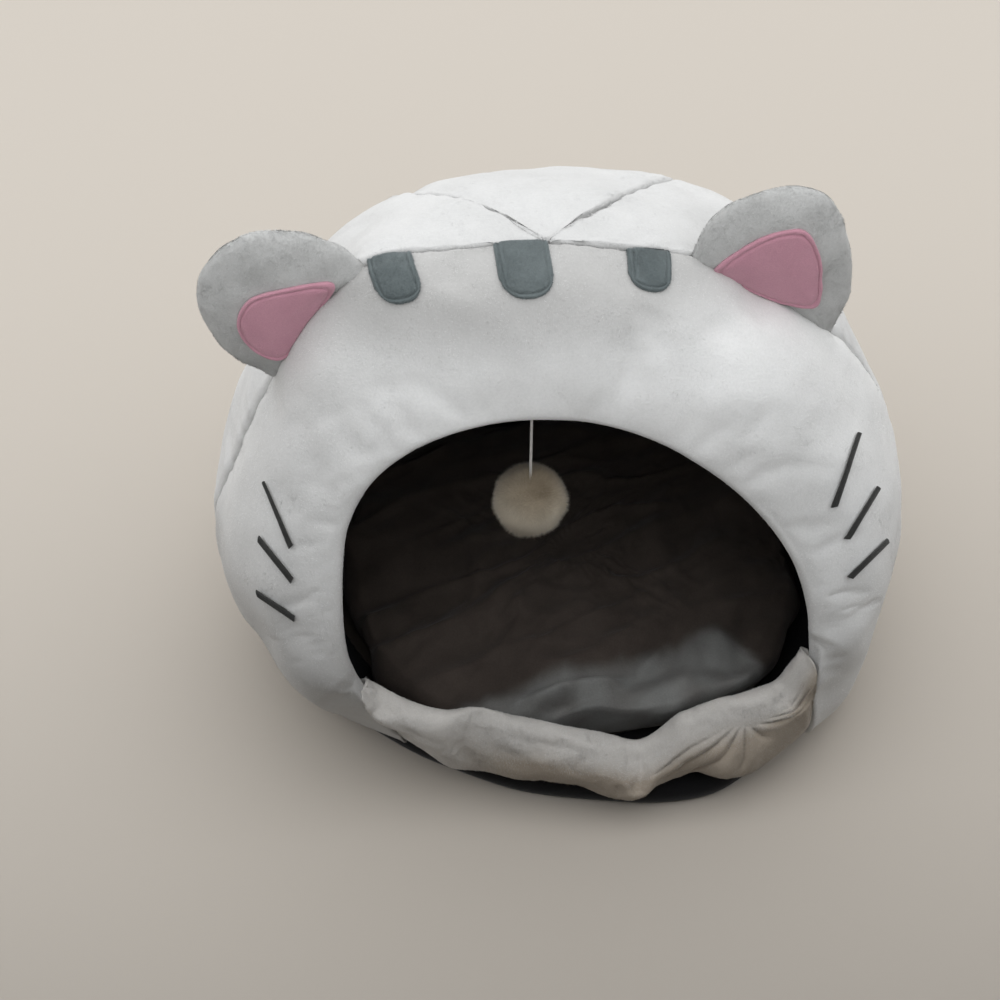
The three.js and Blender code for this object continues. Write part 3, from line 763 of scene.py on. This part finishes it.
FRONT_LENGTH, FRONT_DEPTH = 900, 120  # along the seam, and from there to the doorway
GORE_LENGTH, GORE_WIDTH = 420, 190  # from foot to crest, and across the foot


def front_shape(a, b, inset):
    return settle(front_surface(a, b, inset))


def front_inset(a, b):
    """The front is full beside its seam and round the doorway, and sunk at its ends under the lip."""
    swelling = 4.2 - groove(b, 1.8, 0.03) - 1.6 * bell(b, 0.08, 0.05) - 2.0 * smooth(b, 0.85, 1)
    return swelling + groove(nearer_end(a), 6, 0.05) * smooth(b, 0.12, 0.5)


front = wall("front_plush", front_shape, steps(170), steps(32) ** 1.15, front_inset,
             roll=5, roll_reach=0.62)
a, b, depth = shares_of(front)
held = np.maximum((depth > 0.4) | (b < 0.012), 0.7 * smooth(b, 0.93, 1))
inflate(front, held, pressure=4, grow=0.01, cap=3.6)
subdivide(front)
points, _ = points_of(front)
a, b, depth = shares_of(front)
folds = waves(points, 85, 1) * 0.9 + waves(points, 38, 2) * 0.35
folds = folds + seam_puckers(b * FRONT_DEPTH, a * FRONT_LENGTH, 3)
push(front, (1 - smooth(depth, 0.0, 0.5)) * folds)
finish_piece(front, plush_grey, ["front_panel"])
points, _ = points_of(front)
# Painted shade on the face: darker by the seam at the top, low down, more towards the left and along the far
# left side, with a band across the middle of the forehead left lighter as painted light.
left, high = -points[:, 0], points[:, 2]
shade_and_tone = 0.56 * smooth(high, 262, 300) + 0.75 * (1 - smooth(high, 40, 170)) * smooth(left, -60, 60)
shade_and_tone += 0.3 * (1 - smooth(high, 60, 160)) + 0.25 * smooth(left, 60, 180)
shade_and_tone -= 0.32 * bell(high, 246, 22) * (1 - smooth(np.abs(left), 80, 150))
pile(front, 136000, 1.9, 0.44, 31, wanted=1 - smooth(depth, 0.7, 1.0), lift=0.17, shade_and_tone=shade_and_tone)

for index, (name, start, end, under) in enumerate(GORES):
    def gore_shape(u, t, inset, start=start, end=end):
        angle = mix(start + 0.08 * (start > 0), end - 0.08 * (end < 180), t)
        return settle(dome_surface(u, np.radians(angle), inset))

    def gore_inset(u, t, under=under):
        return under - groove(nearer_end(t), 1.6, 0.05) - 1.5 * smooth(u, 0.9, 1)

    gore = wall(name + "_plush", gore_shape, 0.996 * steps(66) ** 0.85, steps(34),
                gore_inset, inner_steps=7)
    u, t, depth = shares_of(gore)
    held = np.maximum((depth > 0.4) | (nearer_end(t) < 0.01), 1 - smooth(u, 0.0, 0.05))
    inflate(gore, np.maximum(held, smooth(u, 0.93, 0.99)), pressure=4, grow=0.01, cap=3.4)
    subdivide(gore)
    points, _ = points_of(gore)
    u, t, depth = shares_of(gore)
    from_seam = nearer_end(t) * (GORE_WIDTH * (1 - u * 0.9))
    folds = waves(points, 80, 4 + index) + waves(points, 35, 14 + index) * 0.4
    folds += seam_puckers(from_seam, u * GORE_LENGTH, 5 + index, pitch=16, depth=0.9)
    push(gore, (1 - smooth(depth, 0.0, 0.5)) * folds)
    finish_piece(gore, plush_dome, [name])
    pile(gore, 76000, 1.9, 0.48, 32 + index, wanted=1 - smooth(depth, 0.2, 0.6), lift=0.13)


# The slack front lip: its belly hangs in lobes.
LIP_LENGTH, LIP_HEIGHT = 262, 90
FAN_A, FAN_B = 0.862, 0.95  # where the gathers start


def lip_folds(a, b):
    """The gathers that fan out below the right end of the crest, and a little slack all over."""
    along, up = (a - FAN_A) * LIP_LENGTH, (b - FAN_B) * LIP_HEIGHT
    radius = np.hypot(along, up)
    angle = np.arctan2(up, along)
    leftward = smooth(-np.cos(angle), -0.3, 0.6)
    fan = smooth(radius, 5, 14) * (1 - smooth(radius, 18 + 30 * leftward, 38 + 26 * leftward))
    fan = fan * smooth(-up, 2, 14)
    bend = waves(np.stack([angle * 10, radius * 0.05, angle * 0], -1), 22, 51)
    folds = np.abs(np.sin(angle * 8.5 + 0.8 * bend)) ** 0.6
    slack = waves(np.stack([along, up * 0.6 + along * 0.35, along * 0], -1), 34, 52)
    return fan * (folds * 3.2 - 2.4) + slack * 0.5 * smooth(b, 0.02, 0.2) * (1 - smooth(b, 0.8, 0.95))


def lip_shape(a, b, inset):
    """The lip with its belly hung out or drawn in, and its foot raised where it can't be drawn in enough."""
    outer = (inset < WALL / 2) * 1.0
    wanted = table(LIP_HANG, a)
    short = np.log1p(np.exp((-6.5 - wanted) / 2)) * 2
    hang = (wanted + short) * smooth(b, 0.0, 0.16) * (1 - smooth(b, 0.4, 0.9))
    points = lip_surface(a, b, inset - hang * outer)
    points[..., 2] += table(LIP_CREST, a) * smooth(b, 0.45, 1.0)
    points[..., 1] -= 5 * bell(a, 0.91, 0.07) * smooth(b, 0.45, 1.0)
    points[..., 2] += short * 0.9 * (1 - smooth(b, 0.02, 0.36)) * outer
    return settle(points)


def lip_inset(a, b):
    """The lip lies over the front panel's ends, which are sunk below it."""
    return 2.6 + groove(b, 3, 0.15) + groove(a, 2, 0.04) + groove(1 - a, 4.5, 0.07)


lip = wall("lip_plush", lip_shape, steps(150), steps(34), lip_inset, roll=6)
a, b, depth = shares_of(lip)
held = np.maximum((depth > 0.6) | (b < 0.02), 1 - smooth(nearer_end(a), 0.0, 0.03))
inflate(lip, held, pressure=3, grow=0.03, cap=2.4)
subdivide(lip)
a, b, depth = shares_of(lip)
points, _ = points_of(lip)
push(lip, (1 - smooth(depth, 0.0, 0.4)) * lip_folds(a, b) + waves(points, 45, 53) * 0.5)
finish_piece(lip, plush_lip, ["front_lip"])
# Painted shade on the lip's belly below its crest, from a little way in from its left end.
shade_and_tone = 0.95 * (1 - smooth(b, 0.62, 1.0)) * smooth(a, 0.12, 0.4)
pile(lip, 82000, 1.6, 0.38, 36, wanted=1 - smooth(depth, 0.85, 1.0), shade_and_tone=shade_and_tone)


# The ears: two padded faces sewn together round the outline, each with its felt.
def in_seam_plane(corners):
    return np.array([(x, SEAM_Y, z) for x, z in corners], float)


def ear_outline(shape):
    """The ear's edge: its base sunk in the seam between the walls, and its free edge round from there."""
    sunk = np.full(13, 8.5)
    base = settle(edge_point(np.linspace(*shape["base"], len(sunk)) / LAST_SECTION, sunk))
    through = np.vstack([base[-1:], in_seam_plane(shape["outline"]), base[:1]])
    return np.vstack([base, curve(through, steps(68))[1:-1]])


def ear_half(r):
    """Half the ear's thickness at a share r of the way from its centre to its edge."""
    return 0.3 + 9.3 * np.maximum(1 - r**2.3, 0) ** 0.55


def ear_share(outline, centre, point):
    """Which share of the way from the centre to the outline a point lies at."""
    away = (point - centre)[[0, 2]]
    best = 0.0
    for p, q in zip(outline, np.roll(outline, -1, 0)):
        edge, to_edge = (q - p)[[0, 2]], (p - centre)[[0, 2]]
        turn = away[0] * edge[1] - away[1] * edge[0]
        if abs(turn) < 1e-9:
            continue
        reach = (to_edge[0] * edge[1] - to_edge[1] * edge[0]) / turn
        along = (to_edge[0] * away[1] - to_edge[1] * away[0]) / turn
        if 0 <= along <= 1 and reach > 0:
            best = max(best, 1 / reach)
    return best


def polar(points, middle):
    """Turn and distance of points from a middle, as seen from the front."""
    x, z = points[:, 0] - middle[0], points[:, 2] - middle[2]
    return np.arctan2(z, x), np.hypot(z, x)


PATCH_RISE = 2.3  # how far felts and stripes stand off the cloth below them
STITCH_DEPTH = 0.9
EAR_RINGS = (0.04, 0.16, 0.3, 0.45, 0.58, 0.7, 0.8, 0.88, 0.94, 0.98, 1.0)
FELT_RINGS = (0.03, 0.25, 0.5, 0.7, 0.8, 0.85, 0.875, 0.9, 0.925, 0.95, 0.98, 1.0)
for index, (side, shape) in enumerate(EARS.items()):
    outline = ear_outline(shape)
    centre = outline.mean(0)
    rings = []
    for facing, shares in ((-1, EAR_RINGS), (1, EAR_RINGS[::-1])):
        for r in shares:
            ring = mix(centre, outline, r)
            ring[:, 1] = SEAM_Y + facing * ear_half(r)
            rings.append(ring)
    ear = loft(f"ear_{side}_plush", rings)
    subdivide(ear)
    points, _ = points_of(ear)
    push(ear, waves(points, 40, 64 + index) * 0.6 + waves(points, 18, 66 + index) * 0.25)
    finish_piece(ear, plush_ear, [f"ear_{side}"])

    corners = closed_curve(in_seam_plane(shape["felt"]), 96)
    middle = corners.mean(0)

    def felt_ring(r, rise):
        ring = []
        for point in mix(middle, corners, r):
            half = ear_half(min(ear_share(outline, centre, point), 1.0))
            ring.append((point[0], SEAM_Y - half - rise, point[2]))
        return ring

    def felt_rise(r):
        """The felt dips along its line of stitches and at its edge."""
        stitches = STITCH_DEPTH * math.exp(-(((r - 0.9) / 0.022) ** 2))
        return PATCH_RISE - stitches - 0.5 * max(0.0, (r - 0.97) / 0.03) ** 2

    rings = [felt_ring(r, felt_rise(r)) for r in FELT_RINGS] + [felt_ring(r, 0.4) for r in (1.0, 0.6, 0.03)]
    felt = loft(f"ear_{side}_felt", rings)
    points, _ = points_of(felt)
    push(felt, waves(points, 9, 71 + index) * 0.12)
    finish_piece(felt, felt_pink, [f"ear_felt_{side}"])
    x, z = corners[:, 0] * MM, corners[:, 2] * MM
    points, _ = points_of(ear)
    turn, far = polar(points, middle)
    felt_turn, felt_far = polar(corners, middle)
    order = np.argsort(felt_turn)
    reach = np.interp(turn, felt_turn[order], felt_far[order], period=2 * math.pi)
    bare = (points[:, 1] < SEAM_Y) & (far < reach * 0.97)
    pile(ear, 37000, 1.9, 0.43, 37 + index, wanted=1.0 - bare, nap=nap_up)


# The stripes, sewn flat on the forehead.
def heights_over(points, normals, obj):
    """How far an object's surface lies above the points of a grid along their normals, smoothed."""
    search, spread, rounds = 12, 1.5, 8
    heights = np.full(points.shape[:2], np.nan)
    for index in np.ndindex(heights.shape):
        p, n = points[index], normals[index]
        found, place, _, _ = obj.ray_cast(Vector((p + n * search) * MM), Vector(-n), distance=2 * search * MM)
        if found:
            heights[index] = (np.array(place) / MM - p) @ n
    middle = np.nanmedian(heights)
    heights = np.clip(np.nan_to_num(heights, nan=middle), middle - spread, middle + spread)
    for _ in range(rounds):
        padded = np.pad(heights, 1, "edge")
        beside = padded[:-2, 1:-1] + padded[2:, 1:-1] + padded[1:-1, :-2] + padded[1:-1, 2:]
        heights = (beside + 2 * heights) / 6
    return heights


STRIPE_TOP = 0.006  # just below the seam, as a share of the way to the doorway
STITCHES_IN = 2.4  # from the stripe's edge to its line of stitches
bpy.context.view_layer.update()
for index, (name, start, end, length) in enumerate(STRIPES):
    side, fall = steps(44), steps(40)
    cross = 2 * side - 1
    reach = 0.62 + 0.38 * np.sqrt(np.maximum(1 - np.abs(cross) ** 2.4, 0))
    A, B = np.meshgrid(mix(start, end, side) / LAST_SECTION, fall, indexing="ij")
    B = STRIPE_TOP + (length - STRIPE_TOP) * B * reach[:, None]
    skin = settle(front_surface(A, B, np.zeros_like(A)))
    normal = unit(np.cross(np.gradient(skin, axis=1), np.gradient(skin, axis=0)))
    normal = normal * np.sign(-normal[..., 1:2])
    width = np.linalg.norm(skin[-1] - skin[0], axis=-1).mean() / 2
    tall = np.linalg.norm(skin[22, -1] - skin[22, 0])
    inward = np.minimum((1 - np.abs(cross))[:, None] * width, (1 - fall)[None] * tall)
    rise = PATCH_RISE - STITCH_DEPTH * bell(inward, STITCHES_IN, 0.8) - 1.2 * (1 - smooth(inward, 0, 1.2))
    height = heights_over(skin, normal, front)[..., None]
    top = skin + normal * (height + rise[..., None])
    under = skin + normal * (height + 0.2)
    stripe = loft(name + "_plush", np.concatenate([top, under[:, ::-1]], 1))
    stitched = np.maximum(bell(inward, STITCHES_IN, 0.7), 1 - smooth(inward, 0, 0.6))
    attach(stripe, "bald", np.concatenate([stitched, np.ones_like(inward)], 1))
    finish_piece(stripe, plush_slate, [name])
    pile(stripe, 13000, 1.3, 0.3, 41 + index, wanted=1 - read(stripe, "bald"))


# The dark linings inside, slack between the seams.
DEPTH_RISE = 0.6  # folds rise by this share of the way in


def slanted(points, slope, squeeze):
    """Points turned so that noise of them runs in long folds that rise to the right."""
    c, s = math.cos(slope), math.sin(slope)
    x, y, z = np.moveaxis(points, -1, 0)
    rise = y * DEPTH_RISE + z
    return np.stack([(x * c + rise * s) * squeeze, -x * s + rise * c, y * 0.3], -1)


def creases(points, wavelength, seed):
    return np.clip(1 - np.abs(waves(points, wavelength, seed)), 0, 1) ** 2


lining_front = wall("front_lining", front_shape, steps(120), np.linspace(0, 6 / 7, 24),
                    lambda a, b: np.full_like(a, WALL + 1.6), inner=WALL + 3.1, inner_steps=24)
finish_piece(lining_front, lining_dark, ["lining_front"])
lining_dome = wall("dome_lining", lambda u, t, inset: settle(dome_surface(u, t, inset)),
                   0.9 * steps(70) ** 0.85, np.radians(np.linspace(0, 180, 100)),
                   lambda a, b: np.full_like(a, WALL + 1.2), inner=WALL + 2.7, inner_steps=100)
finish_piece(lining_dome, lining_dark, ["lining_dome"])
for sheet, from_seam, across, down in ((lining_front, "share_b", 0.95, 0.115),
                                       (lining_dome, "share_a", 0.62, 0.36)):
    points, _ = points_of(sheet)
    folds = (waves(slanted(points, 0.38, 0.3), 62, 81) + 1) * 1.5
    folds += creases(slanted(points, 0.45, 0.3), 46, 82) * 2.0
    edge, inside = read(sheet, from_seam), read(sheet, "depth") > 0.5
    push(sheet, folds * inside * smooth(edge, 0.02, 0.1) * (1 - smooth(edge, 0.75, 0.85)))


def level_ring(middle, half, corner, count, z):
    """A level oval, or with more than 2 for corner a rounded rectangle."""
    t = np.linspace(0, 2 * math.pi, count, endpoint=False)
    ways = np.stack([np.cos(t), np.sin(t)], -1)
    flat = np.array(middle) + np.array(half) * (np.sign(ways) * np.abs(ways) ** (2 / corner))
    return np.column_stack([flat, np.full(count, float(z))])


floor_rings = [level_ring((7, 2), (152 * r, 137 * r), 2, 90, z)
               for r, z in ((0.05, 13.9), (0.5, 13.9), (1, 13.9), (1, 12.5), (0.5, 12.5), (0.05, 12.5))]
lining_floor = loft("floor_lining", floor_rings)
finish_piece(lining_floor, lining_dark, ["lining_floor"])

# The base: a thin pad in black cloth.
BASE_OUTLINE = (  # x, y anticlockwise from the front, as in the CAD source
    (4, -174), (40, -180), (72, -178), (92, -169), (116, -152), (140, -133), (162, -108), (180, -72),
    (190, -20), (186, 40), (168, 88), (141, 124), (103, 149), (60, 162), (4, 165), (-52, 155), (-97, 135),
    (-133, 106), (-159, 71), (-177, 30), (-182, -20), (-170, -58), (-148, -88), (-122, -112),
    (-100, -130), (-79, -143), (-42, -162),
)
BASE_RINGS = (  # height, and how far inside the outline
    (0.1, 150), (0.1, 60), (0.2, 7), (0.8, 4), (2.5, 1.5), (6, 0.3), (9.5, 1.5), (11.3, 4), (12, 7),
    (12, 60), (12, 150),
)
edge = closed_curve([(x, y, 0) for x, y in BASE_OUTLINE], 160)
reach = np.linalg.norm(edge, axis=-1, keepdims=True)
base = loft("base_cloth", [edge * (reach - inset) / reach + (0, 0, z) for z, inset in BASE_RINGS])
finish_piece(base, base_black, ["base_pad"])

# The loose cushion: crowned and creased, its front edge drawn up in a rolled fold behind the lip, with a
# light patch painted on its front.
CUSHION = {"middle": (8, -14), "half": (133, 121), "corner": 2.6, "floor": 14.3}
CROWN = (  # share of the way from the middle to the edge, height
    (0, 37), (0.12, 36.9), (0.3, 36.7), (0.5, 36.2), (0.6, 35.7), (0.7, 35), (0.8, 33.8), (0.88, 32),
    (0.93, 29.8), (0.97, 28.5), (0.985, 26.5), (0.995, 22), (1, 14),
)
CUSHION_FOLDS = (  # height, width, and the line it runs along
    (3.2, 6, ((-117, -86), (-76, -66), (-35, -43))),
    (2.6, 5, ((-87, -80), (-29, -57))),
    (8.5, 4.4, ((-28, -124), (-13, -118), (6, -114), (17, -113))),
    (-9.0, 3.6, ((-25, -130), (-18, -129), (-4, -125))),
    (-7.0, 4.5, ((-52, -124), (-46, -124))),
    (5.0, 7, ((58, -112), (72, -96), (86, -90))),
    (-3.0, 5, ((92, -108), (100, -92), (104, -80))),
    (-2.5, 4, ((20, -116), (40, -106), (56, -106))),
)
PATCH_EDGE = (  # x, y of the far edge of the light patch painted on the cushion behind the lip
    (-75, -132), (-60, -126), (-49, -123), (-32, -117), (-24, -111), (-3, -108), (19, -109), (38, -104),
    (50, -105), (61, -103), (72, -95), (84, -91), (96, -98), (106, -109), (116, -124),
)
profile = [(0, 0.2), (0, 0.6), (0, 0.9), (2.5, 0.955), (6, 0.98), (10, 0.995)]
for share in 1 - np.linspace(0, 0.98, 62) ** 1.25:
    profile.append((np.interp(share, *np.array(CROWN).T), share))
cushion = loft("cushion_cloth", [level_ring(CUSHION["middle"], np.array(CUSHION["half"]) * share,
                                            CUSHION["corner"], 200, CUSHION["floor"] + z)
                                 for z, share in profile])
even, _ = points_of(cushion)
inflate(cushion, (even[:, 2] < CUSHION["floor"] + 8) * 1.0, pressure=2, grow=0.02, cap=2)
points, normals = points_of(cushion)

# The middle of the top, where the rings close, stays as even as it was and swells with what is round it.
inner, outer = 16, 24
from_middle = np.hypot(*(even[:, :2] - CUSHION["middle"]).T)
on_top = even[:, 2] > CUSHION["floor"] + 20
swelling = np.median((points - even)[on_top & (from_middle > inner) & (from_middle < outer), 2])
middle = on_top & (from_middle < inner)
points[middle] = even[middle] + (0, 0, swelling)
normals[middle] = (0, 0, 1)


def from_line(points, line):
    """How far points lie from a broken line, seen from above."""
    best = np.inf
    for p, q in zip(np.array(line[:-1], float), np.array(line[1:], float)):
        away = points[:, :2] - p
        share = np.clip((away @ (q - p)) / ((q - p) @ (q - p)), 0, 1)
        best = np.minimum(best, np.linalg.norm(away - share[:, None] * (q - p), axis=1))
    return best


flat = points * (1, 1 / DEPTH_RISE, 0)
turned = slanted(flat, 0.44, 0.24)
lift = creases(turned, 44, 91) * 4.0 + waves(turned, 26, 92) * 1.1 + waves(points, 80, 93) * 1.6
lift += creases(slanted(flat, 0.9, 0.35), 26, 94) * 1.2
for height, width, line in CUSHION_FOLDS:
    lift += height * bell(from_line(points, line), 0, width)
upward = smooth(normals[:, 2], 0.05, 0.6)
x, y, z = points.T
z += np.maximum((lift - 2.6) * upward, -9)

# The front edge is drawn forward and up behind the lip, and the sides reach the walls.
forward = smooth(-y, 70, 125)
y -= (5.5 + 1.5 * upward) * forward
over_lip = smooth(x, 0, 30) * (1 - smooth(x, 95, 120))
y -= 7 * smooth(z, 26, 44) * forward * over_lip
z += 10 * forward * smooth(-y, 112, 134) * upward
x -= 7 * smooth(-x, 60, 120)
x += 7 * smooth(x, 70, 135)
sides = smooth(np.abs(x - CUSHION["middle"][0]), 90, 130)
x += 3.5 * waves(points * (0, 1, 1), 46, 97) * sides
z += 4 * waves(points * (0, 1, 0), 36, 98) * sides * upward
set_points(cushion, points)
# The painted light patch: lighter colour on the cushion's front, up to the patch's far edge, carried by the
# attribute named plush.
edge_line = np.interp(x, *np.array(PATCH_EDGE, float).T) + waves(points * (1, 0, 0), 14, 95) * 1.5
attach(cushion, "plush", (1 - smooth(y - edge_line, -5, 9)) * (0.85 + 0.15 * waves(points, 22, 96)))
finish_piece(cushion, cushion_cloth, ["cushion"])

# Whiskers in satin stitch: threads laid side by side across each bar, on the nap.
eye = np.array(camera.location)
WHISKERS = (  # both ends, width at each end
    ((-169.7, -68.4, 197.2), (-158.6, -101.4, 181.3), 1.8, 3.4),
    ((-175.6, -85.1, 170.2), (-160.0, -109.9, 163.1), 4.0, 3.8),
    ((-179.8, -100.4, 142.3), (-161.0, -119.9, 142.6), 4.4, 3.8),
    ((155.3, -73.0, 197.6), (136.6, -106.0, 177.4), 3.2, 4.2),
    ((168.1, -86.2, 165.0), (144.6, -114.2, 158.0), 3.8, 4.0),
    ((172.2, -105.6, 140.8), (146.8, -125.0, 136.6), 4.0, 4.2),
)
RING_STEP, THREAD_RINGS = 0.13, 5  # millimetres between rings, rings for each thread


def evened(ways):
    """Directions averaged with their neighbours along a row."""
    weights = np.ones(15) / 15
    return unit(np.stack([np.convolve(np.pad(w, 7, "edge"), weights, "valid") for w in ways.T], -1))


for index, (start, end, wide_start, wide_end) in enumerate(WHISKERS):
    start, end = np.array(start), np.array(end)
    count = int(np.linalg.norm(end - start) / RING_STEP)
    t = steps(count + 1)
    middle, ways = [], []
    for aim in mix(start, end, t[:, None]):
        found, place, normal, _ = front.ray_cast(Vector(eye), Vector(unit(aim * MM - eye)))
        middle.append(np.array(place) / MM if found else aim)
        ways.append(np.array(normal) if found else unit(eye - aim * MM))
    middle, ways = np.array(middle), evened(np.array(ways))
    along = evened(unit(np.gradient(middle, axis=0)))
    across = unit(np.cross(along, ways))
    thread = 0.5 + 0.5 * np.cos(2 * math.pi * np.arange(count + 1) / THREAD_RINGS)
    half = mix(wide_start, wide_end, t) / 2 * (0.94 + 0.06 * thread)
    rings = []
    for angle in np.linspace(0, 2 * math.pi, 16, endpoint=False):
        side, high = math.cos(angle), math.sin(angle)
        aside = (math.copysign(abs(side) ** 0.6, side) * half)[:, None]
        lift = high * (0.8 + 0.22 * thread * (high > 0)) + 1.7
        rings.append(middle + across * aside + ways * lift[:, None] + along * (aside * 0.45))
    whisker = loft(f"whisker_{index + 1}", np.stack(rings, 1))
    finish_piece(whisker, thread_dark)

# Floor and light.
REACH = 6000
floor = make_mesh("floor", [(-REACH, -REACH, 0), (REACH, -REACH, 0), (REACH, REACH, 0), (-REACH, REACH, 0)],
                  [(0, 1, 2, 3)])
look, nodes, links = material("floor")
nodes["Principled BSDF"].inputs["Base Color"].default_value = (0.52, 0.475, 0.42, 1)
nodes["Principled BSDF"].inputs["Roughness"].default_value = 0.9
floor.data.materials.append(look)

# A low dark card round the front, outside the picture, shades the lip.
corners = ((-750, -50), (-550, -425), (550, -425), (750, -50))
card = make_mesh("card", [(x, y, z) for x, y in corners for z in (0, 360)],
                 [(0, 2, 3, 1), (2, 4, 5, 3), (4, 6, 7, 5)], False)
card.data.materials.append(base_black)
card.visible_camera = False

world = bpy.data.worlds.new("sky")
world.use_nodes = True
background = world.node_tree.nodes["Background"]
background.inputs["Color"].default_value = (0.98, 0.99, 1.0, 1)
background.inputs["Strength"].default_value = 1.3
scene.world = world

lamp = bpy.data.lights.new("sky_light", "AREA")
lamp.size = 1.2
lamp.energy = 1.6
lamp.color = (1.0, 0.99, 0.975)
sky_light = link(bpy.data.objects.new("sky_light", lamp))
sky_light.location = (0.1, 0.4, 1.8)
aim = Vector((0, -0.02, 0.15)) - sky_light.location
sky_light.rotation_euler = aim.to_track_quat("-Z", "Y").to_euler()
scene.view_settings.view_transform = "Standard"
